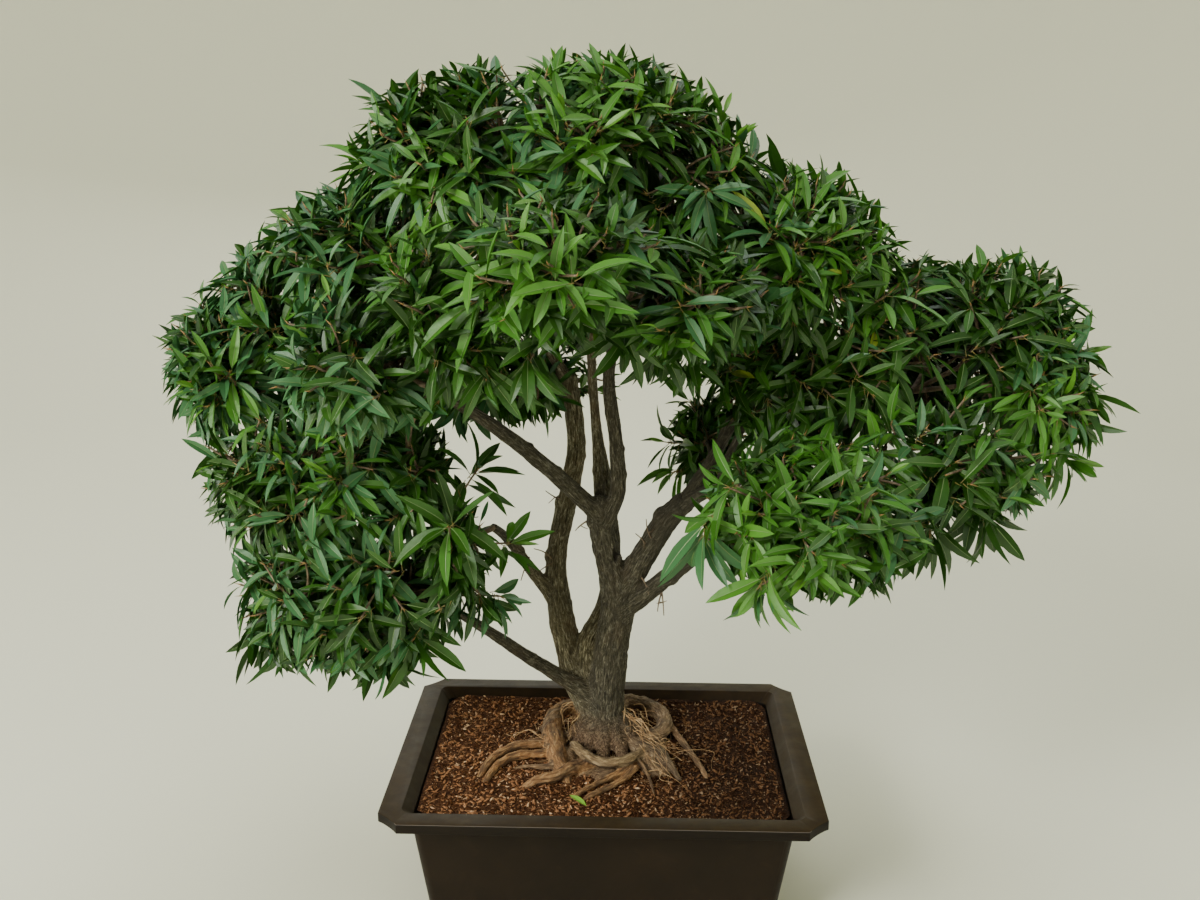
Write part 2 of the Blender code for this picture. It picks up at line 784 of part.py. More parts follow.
def surface_of(half):
    """The surface of an ellipsoid, by the usual approximation from its three half sizes."""
    a, b, c = (size ** 1.6 for size in half)
    return 4 * math.pi * ((a * b + a * c + b * c) / 3) ** (1 / 1.6)


def spray_directions(half, rng):
    """Directions spread evenly over a mass by the golden angle, from a seeded turn."""
    count = round(surface_of(half) / SPRAY_AREA)
    turn = rng.uniform(0, math.tau)
    for step in range(count):
        height = 1 - (2 * step + 1) / count
        ring = math.sqrt(1 - height * height)
        angle = turn + GOLDEN_ANGLE * step
        yield Vector((ring * math.cos(angle), ring * math.sin(angle), height))


def spray_leaves(heart, outward, leaf_length, rng):
    """Root, direction and length of the leaves that stand up round the end of one twig."""
    side = across_of(outward)
    beside = outward.cross(side)
    turn = rng.uniform(0, math.tau)
    for step in range(LEAVES_PER_SPRAY):
        angle = turn + math.tau * step / LEAVES_PER_SPRAY
        tilt = SPRAY_TILT * rng.uniform(1 - LEAF_SPREAD, 1 + LEAF_SPREAD)
        round_twig = math.cos(angle) * side + math.sin(angle) * beside
        direction = math.cos(tilt) * outward + math.sin(tilt) * round_twig
        direction = (direction + Vector((0, 0, -DROOP))).normalized()
        length = leaf_length * rng.uniform(1 - LEAF_SPREAD, 1 + LEAF_SPREAD)
        yield heart - outward * LEAF_STEP * (step + 1), direction, length


def stem_route(name):
    """The stem of a mass, from inside its limb's tip to the middle of its core."""
    centre, _, carrier = MASSES[name]
    stations = smooth_route(LIMBS[carrier], RING_SPACING)
    tip, tip_radius = stations[-1]
    along = (tip - stations[-2][0]).normalized()
    goal = Vector(centre)
    start = tip - along * tip_radius * 0.5
    bend = start.lerp(goal, STEM_BEND_AT) + along * (goal - start).length * STEM_BEND
    radius = min(STEM_RADIUS, tip_radius * STEM_SHARE)
    return (
        (*start, radius),
        (*bend, (radius + STEM_TIP) / 2),
        (*goal, STEM_TIP),
    )


def make_mass(name, seed, stems, others, leaf):
    """One mass: core, stem, twigs and leaves, fused into one solid by one Boolean union."""
    rng = random.Random(seed)
    centre, half, _ = MASSES[name]
    centre = Vector(centre)
    walls = walls_between(name)
    obstacles = limb_stations(others)
    leaf_length = LEAF_LENGTH * min(1.0, sum(half) / 3 / FULL_MASS)
    mass = add_object(name, *core_shape(centre, half, walls, obstacles, leaf_length, rng), leaf)
    seat_against(mass, others)
    pieces = bpy.data.collections.new(name + "_pieces")
    bpy.context.scene.collection.children.link(pieces)

    def add_piece(points, faces):
        piece = add_object("piece", points, faces)
        bpy.context.scene.collection.objects.unlink(piece)
        pieces.objects.link(piece)

    stem = stems[name]
    bpy.context.scene.collection.objects.unlink(stem)
    pieces.objects.link(stem)
    leaf_count = 0
    placed = []
    for direction in spray_directions(half, rng):
        offset = Vector(part * size for part, size in zip(direction, half))
        reach, share = open_reach(centre, half, walls, offset.normalized())
        if share < OPEN_SHARE:
            continue
        outward = Vector(part / size for part, size in zip(direction, half)).normalized()
        heart = centre + offset.normalized() * (reach - SPRAY_DEPTH * leaf_length)
        if near_limb([heart], obstacles, 2 * TWIG_RADIUS):
            continue
        leaves = []
        for root, way, length in spray_leaves(heart, outward, leaf_length, rng):
            for trim in LEAF_TRIMS:
                points, faces = leaf_shape(root, way, length * trim, outward)
                if all(in_space(point, centre, half, walls) for point in points):
                    break
            else:
                continue
            if near_limb(leaf_samples(points), obstacles, LIMB_MARGIN):
                continue
            skin = BVHTree.FromPolygons(points, faces)
            if any(skin.overlap(other) for other in placed):
                continue
            placed.append(skin)
            leaves.append((points, faces))
        if not leaves:
            continue
        start = centre.lerp(heart, TWIG_START)
        samples = [start.lerp(heart, share) for share in (0.0, 0.25, 0.5, 0.75, 1.0)]
        if near_limb(samples, obstacles, LIMB_MARGIN + TWIG_RADIUS):
            continue
        add_piece(*twig_shape(start, heart))
        for points, faces in leaves:
            add_piece(points, faces)
            leaf_count += 1
    combine(mass, "UNION", pieces)
    keep_main_shell(mass)
    print(name, "leaves", leaf_count, "triangles", len(mass.data.polygons))
    return leaf_count


def make_stems(wood, leaf):
    """The stem of every mass, each cut clear of the limbs and of the stems before it."""
    made = dict(wood)
    stems = {}
    for name in MASSES:
        route = stem_route(name)
        obj = add_object("stem_" + name, *limb_shape(name, route), leaf)
        seat_against(obj, made)
        made[name] = route
        stems[name] = obj
    return stems, {name: route for name, route in made.items() if name in MASSES}


def main():
    clear_scene()
    finishes = {name: make_material(name) for name in FINISHES}
    make_pot(finishes["pot_plastic"])
    make_soil(finishes["soil"])
    wood = make_wood(finishes["bark"], finishes["root_bark"])
    stems, stem_routes = make_stems(wood, finishes["leaf"])
    leaves = 0
    for seed, name in enumerate(MASSES):
        others = {other: route for other, route in stem_routes.items() if other != name}
        leaves += make_mass(name, seed, stems, {**wood, **others}, finishes["leaf"])
    print("leaves in all", leaves)


main()
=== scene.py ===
# %% [markdown]
# Willow leaf fig bonsai in its training pot.
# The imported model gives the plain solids: pot, soil, trunk, boughs, surface roots and masses of foliage.
# This lesson dresses them. Each step first says what the real thing is and how it could be made.
# Then short cells build it, and print what they made.

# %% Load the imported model
import math
import random

import bmesh
import bpy
import numpy as np
from mathutils import Matrix, Vector, noise
from mathutils.kdtree import KDTree


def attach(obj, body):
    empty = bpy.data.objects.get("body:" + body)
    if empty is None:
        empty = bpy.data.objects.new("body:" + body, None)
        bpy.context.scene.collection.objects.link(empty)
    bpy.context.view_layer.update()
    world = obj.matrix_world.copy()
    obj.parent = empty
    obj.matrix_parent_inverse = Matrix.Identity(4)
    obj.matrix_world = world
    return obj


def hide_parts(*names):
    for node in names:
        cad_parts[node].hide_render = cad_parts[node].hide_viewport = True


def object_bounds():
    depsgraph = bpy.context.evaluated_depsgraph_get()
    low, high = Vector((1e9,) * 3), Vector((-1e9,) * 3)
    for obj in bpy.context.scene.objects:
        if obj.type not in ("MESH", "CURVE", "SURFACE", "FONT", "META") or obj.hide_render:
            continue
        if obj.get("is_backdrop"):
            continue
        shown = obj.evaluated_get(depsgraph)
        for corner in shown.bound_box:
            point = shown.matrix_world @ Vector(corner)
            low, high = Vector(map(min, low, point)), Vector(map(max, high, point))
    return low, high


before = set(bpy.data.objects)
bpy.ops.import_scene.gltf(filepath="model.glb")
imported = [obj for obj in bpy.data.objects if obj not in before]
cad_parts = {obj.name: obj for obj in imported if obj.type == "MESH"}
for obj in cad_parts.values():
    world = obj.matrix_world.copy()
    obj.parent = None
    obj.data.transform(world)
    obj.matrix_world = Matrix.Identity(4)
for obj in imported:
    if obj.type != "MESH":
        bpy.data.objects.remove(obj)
cad_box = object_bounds()
print("packed nodes:", len(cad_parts))
print("packed box:", [round(value, 3) for corner in cad_box for value in corner])

# %% [markdown]
# The camera stands where the photographer stood: above the pot's rim, looking a little down.
# A camera could be aimed by eye, but the pot's rim is a rectangle of known size.
# Its eight corners fix the place, the direction and the focal length, so those are written here.

# %% Set the camera
IMAGE_WIDTH = 1200
FOCAL_PIXELS = 1246.9
SENSOR_WIDTH = 36.0
CAMERA_PLACE = Vector((0.0155, -1.2622, 0.8192))
CAMERA_YAW = -0.01903
CAMERA_PITCH = 0.24814
CAMERA_ROLL = -0.00841


def camera_matrix(place, yaw, pitch, roll):
    """Where the camera stands and how it is turned, as a matrix of its own axes."""
    ahead = Vector((math.sin(yaw) * math.cos(pitch), math.cos(yaw) * math.cos(pitch), -math.sin(pitch)))
    right = Vector((math.cos(yaw), -math.sin(yaw), 0))
    down = ahead.cross(right)
    turned_right = math.cos(roll) * right + math.sin(roll) * down
    turned_down = math.cos(roll) * down - math.sin(roll) * right
    matrix = Matrix((turned_right, -turned_down, -ahead)).transposed().to_4x4()
    matrix.translation = place
    return matrix


camera_data = bpy.data.cameras.new("camera")
camera_data.sensor_width = SENSOR_WIDTH
camera_data.lens = FOCAL_PIXELS / IMAGE_WIDTH * SENSOR_WIDTH
camera = bpy.data.objects.new("camera", camera_data)
bpy.context.scene.collection.objects.link(camera)
camera.matrix_world = camera_matrix(CAMERA_PLACE, CAMERA_YAW, CAMERA_PITCH, CAMERA_ROLL)
bpy.context.scene.camera = camera
print("lens:", round(camera_data.lens, 2), "mm")

# %% [markdown]
# These helpers do what a hand does with the mouse: clear the selection, and pick parts of a mesh by place.
# An operator acts on all that is selected, so every step starts from nothing selected.

# %% Helpers for modelling by hand
def deselect_all():
    if bpy.context.mode != "OBJECT":
        bpy.ops.object.mode_set(mode="OBJECT")
    bpy.ops.object.select_all(action="DESELECT")


def take(obj):
    """Makes one object the only selected and active one."""
    deselect_all()
    obj.select_set(True)
    bpy.context.view_layer.objects.active = obj


def pick(obj, kind, test):
    """In edit mode, selects only the vertices, edges or faces that pass a test."""
    modes = {"verts": (True, False, False), "edges": (False, True, False), "faces": (False, False, True)}
    bpy.context.tool_settings.mesh_select_mode = modes[kind]
    bpy.ops.mesh.select_all(action="DESELECT")
    shape = bmesh.from_edit_mesh(obj.data)
    shape.faces.ensure_lookup_table()
    for item in getattr(shape, kind):
        item.select_set(bool(test(item)))
    shape.select_flush_mode()
    bmesh.update_edit_mesh(obj.data)


def apply_modifier(obj, kind, **settings):
    """Adds a modifier with these settings and applies it."""
    take(obj)
    modifier = obj.modifiers.new(kind.lower(), kind)
    for key, value in settings.items():
        setattr(modifier, key, value)
    bpy.ops.object.modifier_apply(modifier=modifier.name)


def mesh_object(name, points, quads, triangles=()):
    """A new object from arrays of points and of corner numbers."""
    mesh = bpy.data.meshes.new(name)
    quads = np.asarray(quads, np.int32).reshape(-1, 4)
    triangles = np.asarray(triangles, np.int32).reshape(-1, 3)
    corners = np.concatenate([quads.ravel(), triangles.ravel()])
    starts = np.concatenate([np.arange(len(quads)) * 4, quads.size + np.arange(len(triangles)) * 3])
    mesh.vertices.add(len(points))
    mesh.vertices.foreach_set("co", np.asarray(points, np.float32).ravel())
    mesh.loops.add(len(corners))
    mesh.loops.foreach_set("vertex_index", corners)
    mesh.polygons.add(len(starts))
    mesh.polygons.foreach_set("loop_start", starts.astype(np.int32))
    mesh.update(calc_edges=True)
    obj = bpy.data.objects.new(name, mesh)
    bpy.context.scene.collection.objects.link(obj)
    return obj


def points_of(obj):
    """All the vertices of an object as an array."""
    points = np.empty(len(obj.data.vertices) * 3, np.float32)
    obj.data.vertices.foreach_get("co", points)
    return points.reshape(-1, 3).astype(float)


def move_points(obj, points):
    obj.data.vertices.foreach_set("co", np.asarray(points, np.float32).ravel())
    obj.data.update()


def triangle_count(obj):
    return sum(len(face.vertices) - 2 for face in obj.data.polygons)


def finish_piece(obj, material, nodes=()):
    """Gives a finished piece its material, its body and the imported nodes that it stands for."""
    deselect_all()
    obj.data.materials.clear()
    obj.data.materials.append(material)
    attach(obj, "root")
    if nodes:
        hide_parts(*nodes)
    print(obj.name, "triangles:", triangle_count(obj))


print("helpers ready")

# %% [markdown]
# A material is a small graph of nodes. These helpers add nodes to it and join them by name.
# Patterns read Object coordinates in metres, so their scales are counts per metre.

# %% Helpers for materials
def new_material(name, colour, roughness):
    """A material with one Principled shader, and that shader."""
    material = bpy.data.materials.new(name)
    material.use_nodes = True
    shader = material.node_tree.nodes["Principled BSDF"]
    shader.inputs["Base Color"].default_value = (*colour, 1)
    shader.inputs["Roughness"].default_value = roughness
    return material, shader


def add_node(material, kind, inputs=None, **settings):
    node = material.node_tree.nodes.new(kind)
    for key, value in settings.items():
        setattr(node, key, value)
    for key, value in (inputs or {}).items():
        if isinstance(value, bpy.types.NodeSocket):
            material.node_tree.links.new(value, node.inputs[key])
        else:
            node.inputs[key].default_value = value
    return node


def object_place(material):
    return add_node(material, "ShaderNodeTexCoord").outputs["Object"]


def noise_value(material, place, scale, detail=4.0, roughness=0.6, distortion=0.0):
    """Noise between 0 and 1 with so many lumps to the metre."""
    node = add_node(
        material,
        "ShaderNodeTexNoise",
        {"Vector": place, "Scale": scale, "Detail": detail, "Roughness": roughness, "Distortion": distortion},
    )
    return node.outputs["Fac"]


def ramp(material, value, *stops):
    """Turns a value into a colour by stops of (position, colour)."""
    node = add_node(material, "ShaderNodeValToRGB", {"Fac": value})
    elements = node.color_ramp.elements
    while len(elements) < len(stops):
        elements.new(0.5)
    for element, (position, colour) in zip(elements, stops):
        element.position = position
        element.color = (*colour, 1)
    return node.outputs["Color"]


def mix_colours(material, share, first, second, blend="MIX"):
    node = add_node(material, "ShaderNodeMix", data_type="RGBA", blend_type=blend)
    links = material.node_tree.links
    for socket, value in (("Factor", share), ("A", first), ("B", second)):
        target = [entry for entry in node.inputs if entry.name == socket and entry.enabled][0]
        if isinstance(value, bpy.types.NodeSocket):
            links.new(value, target)
        else:
            target.default_value = value if socket == "Factor" else (*value, 1)
    return [entry for entry in node.outputs if entry.enabled][0]


def map_range(material, value, low, high, to_low=0.0, to_high=1.0):
    node = add_node(
        material,
        "ShaderNodeMapRange",
        {"Value": value, "From Min": low, "From Max": high, "To Min": to_low, "To Max": to_high},
    )
    return node.outputs["Result"]


def bump(material, height, strength, distance, under=None):
    inputs = {"Height": height, "Strength": strength, "Distance": distance}
    if under is not None:
        inputs["Normal"] = under
    return add_node(material, "ShaderNodeBump", inputs).outputs["Normal"]


def connect(material, output, shader, socket):
    material.node_tree.links.new(output, shader.inputs[socket])


print("material helpers ready")

# %% [markdown]
# The studio is a round bowl: a flat pale floor that curves up into a wall with no edge.
# A flat plane would end in a line behind the tree, and a box would show its corners from the side.
# One profile is spun round the middle, so the background is plain from every side.

# %% Floor and backdrop
FLOOR_RADIUS = 2.6
BOWL_RADIUS = 5.0
BOWL_HEIGHT = 6.0
BOWL_STEPS = 14
FLOOR_DROP = 0.0006

deselect_all()
profile = bpy.data.meshes.new("studio_bowl")
outline = [(0, 0, 0), (FLOOR_RADIUS, 0, 0)]
curve_radius = BOWL_RADIUS - FLOOR_RADIUS
for step in range(1, BOWL_STEPS + 1):
    turn = math.pi / 2 * step / BOWL_STEPS
    outline.append((FLOOR_RADIUS + curve_radius * math.sin(turn), 0, curve_radius * (1 - math.cos(turn))))
outline.append((BOWL_RADIUS, 0, BOWL_HEIGHT))
profile.from_pydata(outline, [(i, i + 1) for i in range(len(outline) - 1)], [])
bowl = bpy.data.objects.new("studio_bowl", profile)
bpy.context.scene.collection.objects.link(bowl)
take(bowl)
bpy.ops.object.mode_set(mode="EDIT")
bpy.ops.mesh.select_all(action="SELECT")
bpy.ops.mesh.spin(steps=96, angle=math.tau, center=(0, 0, 0), axis=(0, 0, 1))
bpy.ops.mesh.select_all(action="SELECT")
bpy.ops.mesh.remove_doubles(threshold=0.001)
bpy.ops.mesh.normals_make_consistent(inside=True)
bpy.ops.object.mode_set(mode="OBJECT")
bpy.ops.object.shade_smooth()
move_points(bowl, points_of(bowl) - np.array([0, 0, FLOOR_DROP]))
bowl_paint, _ = new_material("studio_paint", (0.82, 0.81, 0.64), 0.95)
bowl.data.materials.append(bowl_paint)
bowl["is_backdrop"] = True
print("backdrop faces:", len(bowl.data.polygons))

# %% [markdown]
# The tree stands in open shade: broad light from above and from the front left, one low lamp on the
# left, so that light comes in under the crown, and weak fills.
# A sun lamp would throw hard shadows, so large area lamps and a pale sky are used.

# %% Soft light
def area_light(name, place, size, power, colour):
    """A square lamp at a place, aimed at the middle of the crown."""
    data = bpy.data.lights.new(name, "AREA")
    data.size = size
    data.energy = power
    data.color = colour
    lamp = bpy.data.objects.new(name, data)
    bpy.context.scene.collection.objects.link(lamp)
    aim = Vector((0, 0, 0.5)) - Vector(place)
    lamp.matrix_world = Matrix.Translation(place) @ aim.to_track_quat("-Z", "Y").to_matrix().to_4x4()
    return lamp


area_light("key_light", (-2.3, -2.9, 2.5), 1.3, 137, (0.99, 1.0, 0.95))
area_light("fill_light", (2.6, -2.2, 1.6), 2.4, 22, (0.92, 0.96, 1.0))
area_light("low_light", (-2.9, -1.5, 0.95), 1.0, 44, (1.0, 0.99, 0.93))
area_light("top_light", (0.3, 0.8, 3.6), 2.2, 48, (0.95, 0.98, 1.0))
area_light("back_light", (-0.8, 3.2, 2.2), 2.2, 30, (1.0, 0.99, 0.95))
world = bpy.data.worlds.new("sky")
world.use_nodes = True
sky = world.node_tree.nodes["Background"]
sky.inputs["Color"].default_value = (0.86, 0.93, 1.0, 1)
sky.inputs["Strength"].default_value = 0.38
bpy.context.scene.world = world
print("lights:", len(bpy.data.lights))

# %% [markdown]
# The pot is a moulded tray of dark brown plastic. Its lip is a flat frame whose four corners are
# scooped in, with a short skirt, and its walls lean in towards the foot and have rounded corners.
# Lip and tub have different corners, so one block can't be drawn out into both. Each is made from its
# own block, they are united, and a third block, shaped as the room for the soil, is cut out of them.
# The tub widens into a shoulder under the lip, so that the slope inside the lip has plastic behind it.

# %% Pot: a block with shaped corners and a narrower foot
POT_LENGTH = 0.450
POT_DEPTH = 0.340
POT_HEIGHT = 0.160
POT_WALL = 0.003
POT_FLOOR = 0.005
RIM_WIDTH = 0.0225
RIM_DROP = 0.010
RIM_PLATE = 0.0035
SLOPE_DROP = 0.0100
SHOULDER_DROP = 0.0120
SHOULDER_INSET = 0.0195
RIM_CORNER = 0.022
SCOOPED = 0.205
ROUNDED = 0.5
BODY_CORNER = 0.010
INNER_CORNER = 0.009
BODY_TOP_INSET = 0.0295
BODY_FOOT_INSET = 0.050


def shrink_selected(from_inset, to_inset):
    """Scales the selection about the middle, from one inset of the pot's outline to another."""
    lengths = [(size / 2 - to_inset) / (size / 2 - from_inset) for size in (POT_LENGTH, POT_DEPTH)]
    bpy.ops.transform.resize(value=(*lengths, 1), center_override=(0, 0, 0))


def pot_block(name, inset, low, high, corner, profile):
    """A block as wide as the pot less an inset, with its upright edges bevelled."""
    deselect_all()
    bpy.ops.mesh.primitive_cube_add(size=1, location=(0, 0, (low + high) / 2))
    block = bpy.context.object
    block.name = name
    block.scale = (POT_LENGTH - 2 * inset, POT_DEPTH - 2 * inset, high - low)
    bpy.ops.object.transform_apply(location=True, rotation=True, scale=True)
    bpy.ops.object.mode_set(mode="EDIT")
    pick(block, "edges", lambda edge: (edge.verts[0].co - edge.verts[1].co).xy.length < 1e-5)
    bpy.ops.mesh.bevel(offset=corner, segments=6, profile=profile, affect="EDGES")
    return block


def draw_out(rise, from_inset, to_inset):
    """Extrudes the selected face up or down and shrinks or widens it."""
    bpy.ops.mesh.extrude_region_move(TRANSFORM_OT_translate={"value": (0, 0, rise)})
    shrink_selected(from_inset, to_inset)


print("pot outline:", POT_LENGTH, "by", POT_DEPTH, "m")

# %% Pot: lip, tub and the room for the soil
lip = pot_block("training_pot", 0, POT_HEIGHT - RIM_DROP, POT_HEIGHT, RIM_CORNER, SCOOPED)
pick(lip, "faces", lambda face: face.normal.z < -0.9)
draw_out(0, 0, POT_WALL)
draw_out(RIM_DROP - RIM_PLATE, POT_WALL, POT_WALL)
bpy.ops.object.mode_set(mode="OBJECT")

shoulder = POT_HEIGHT - SHOULDER_DROP
tub = pot_block("tub", BODY_TOP_INSET, 0, shoulder, BODY_CORNER, ROUNDED)
pick(tub, "faces", lambda face: face.normal.z < -0.9)
shrink_selected(BODY_TOP_INSET, BODY_FOOT_INSET)
pick(tub, "faces", lambda face: face.normal.z > 0.9)
draw_out(SHOULDER_DROP - RIM_PLATE / 2, BODY_TOP_INSET, SHOULDER_INSET)
bpy.ops.object.mode_set(mode="OBJECT")

room_top = POT_HEIGHT - SLOPE_DROP
inner_inset = BODY_TOP_INSET + POT_WALL
room = pot_block("room", inner_inset, POT_FLOOR, room_top, INNER_CORNER, ROUNDED)
pick(room, "faces", lambda face: face.normal.z < -0.9)
shrink_selected(inner_inset, BODY_FOOT_INSET + POT_WALL)
pick(room, "faces", lambda face: face.normal.z > 0.9)
draw_out(SLOPE_DROP, inner_inset, RIM_WIDTH)
draw_out(RIM_PLATE, RIM_WIDTH, RIM_WIDTH)
bpy.ops.object.mode_set(mode="OBJECT")
print("blocks:", lip.name, tub.name, room.name)

# %% Pot: one skin, with drain holes and rounded edges
DRAIN_SPREAD = (0.105, 0.060)
DRAIN_RADIUS = 0.006
EDGE_ROUNDING = 0.0013

pot = lip
apply_modifier(pot, "BOOLEAN", object=tub, operation="UNION")
apply_modifier(pot, "BOOLEAN", object=room, operation="DIFFERENCE")
cutters = [tub, room]
for sign_x in (-1, 1):
    for sign_y in (-1, 1):
        deselect_all()
        bpy.ops.mesh.primitive_cylinder_add(
            vertices=20,
            radius=DRAIN_RADIUS,
            depth=4 * POT_FLOOR,
            location=(sign_x * DRAIN_SPREAD[0], sign_y * DRAIN_SPREAD[1], 0),
        )
        cutters.append(bpy.context.object)
        apply_modifier(pot, "BOOLEAN", object=cutters[-1], operation="DIFFERENCE")
for cutter in cutters:
    bpy.data.objects.remove(cutter, do_unlink=True)
apply_modifier(pot, "BEVEL", width=EDGE_ROUNDING, segments=3, limit_method="ANGLE", angle_limit=math.radians(40))
take(pot)
bpy.ops.object.shade_smooth_by_angle(angle=math.radians(32))
print("pot faces:", len(pot.data.polygons), "size:", [round(value, 4) for value in pot.dimensions])

# %% [markdown]
# The plastic is matt and dark brown. It has a fine moulded grain, dust that settles in patches, and a few thin
# scratches on the front wall. A pale line along the front edge of the lip is a painted highlight, and the skirt
# and the wall just under the lip are darkened with painted shade.
# One flat brown would look like paint, so noise at three scales moves the colour and the roughness.

# %% Pot: plastic
def make_pot_plastic():
    material, shader = new_material("pot_plastic", (0.014, 0.0085, 0.0045), 0.5)
    shader.inputs["Specular IOR Level"].default_value = 0.16
    place = object_place(material)
    patches = noise_value(material, place, 9.0, 3.0)
    colour = ramp(material, patches, (0.30, (0.0075, 0.0043, 0.0023)), (0.72, (0.0142, 0.0080, 0.0040)))
    dust = noise_value(material, place, 34.0, 8.0, 0.72, 0.6)
    colour = mix_colours(material, map_range(material, dust, 0.56, 0.80, 0.0, 0.20), colour, (0.062, 0.045, 0.028))
    parts = add_node(material, "ShaderNodeSeparateXYZ", {"Vector": place})
    facing = add_node(material, "ShaderNodeNewGeometry").outputs["Normal"]
    facing_up = add_node(material, "ShaderNodeSeparateXYZ", {"Vector": facing}).outputs["Z"]
    top_dust = map_range(material, noise_value(material, place, 60.0, 5.0), 0.25, 0.8, 0.15, 0.55)
    lying = map_range(material, facing_up, 0.5, 0.95)
    top_share = add_node(material, "ShaderNodeMath", {0: lying, 1: top_dust}, operation="MULTIPLY").outputs[0]
    colour = mix_colours(material, top_share, colour, (0.068, 0.039, 0.010))
    # Painted highlight: a pale line along the front edge of the lip, where it faces up and forward
    outward = add_node(material, "ShaderNodeMath", {0: parts.outputs["Y"], 1: -0.1665}, operation="LESS_THAN").outputs[0]
    edge_low = map_range(material, facing_up, 0.25, 0.5)
    edge_high = map_range(material, facing_up, 0.97, 0.80)
    edge = add_node(material, "ShaderNodeMath", {0: edge_low, 1: edge_high}, operation="MULTIPLY").outputs[0]
    painted_edge_highlight = add_node(material, "ShaderNodeMath", {0: edge, 1: outward}, operation="MULTIPLY").outputs[0]
    colour = mix_colours(material, painted_edge_highlight, colour, (0.120, 0.100, 0.085))
    # Painted shade: the wall just under the lip is darkened, most near the lip
    under_lip = map_range(material, parts.outputs["Z"], 0.134, 0.1495, 0.0, 0.7)
    below = add_node(material, "ShaderNodeMath", {0: parts.outputs["Z"], 1: 0.1498}, operation="LESS_THAN").outputs[0]
    painted_shade_under_lip = add_node(material, "ShaderNodeMath", {0: under_lip, 1: below}, operation="MULTIPLY").outputs[0]
    colour = mix_colours(material, painted_shade_under_lip, colour, (0.0030, 0.0018, 0.0010))
    # Painted shade: the upright faces of the skirt are darkened
    upright = map_range(material, facing_up, 0.30, 0.10, 0.0, 0.55)
    on_skirt = add_node(material, "ShaderNodeMath", {0: parts.outputs["Z"], 1: 0.1498}, operation="GREATER_THAN").outputs[0]
    shaded = add_node(material, "ShaderNodeMath", {0: upright, 1: on_skirt}, operation="MULTIPLY").outputs[0]
    colour = mix_colours(material, shaded, colour, (0.0035, 0.0022, 0.0012))
    foot_dirt = map_range(material, parts.outputs["Z"], 0.05, 0.0, 0.0, 0.30)
    colour = mix_colours(material, foot_dirt, colour, (0.060, 0.042, 0.028))
    squeezed = add_node(
        material, "ShaderNodeMapping", {"Vector": place, "Scale": (6.0, 1.0, 90.0), "Rotation": (0.0, 0.5, 0.0)}
    ).outputs["Vector"]
    scratches = noise_value(material, squeezed, 5.0, 6.0, 0.75, 1.2)
    colour = mix_colours(material, map_range(material, scratches, 0.70, 0.76, 0.0, 0.35), colour, (0.12, 0.09, 0.07))
    connect(material, colour, shader, "Base Color")
    connect(material, map_range(material, dust, 0.3, 0.8, 0.42, 0.66), shader, "Roughness")
    grain = noise_value(material, place, 900.0, 2.0)
    ripple = noise_value(material, place, 16.0, 2.0)
    normal = bump(material, ripple, 0.25, 0.002)
    connect(material, bump(material, grain, 0.22, 0.0002, normal), shader, "Normal")
    return material


finish_piece(pot, make_pot_plastic(), ["pot"])

# %% [markdown]
# Trunk, stems and boughs follow the same routes as the solids: a list of points with a radius each.
# A smooth curve runs through every route, and the pieces that grow on them read the same curve.

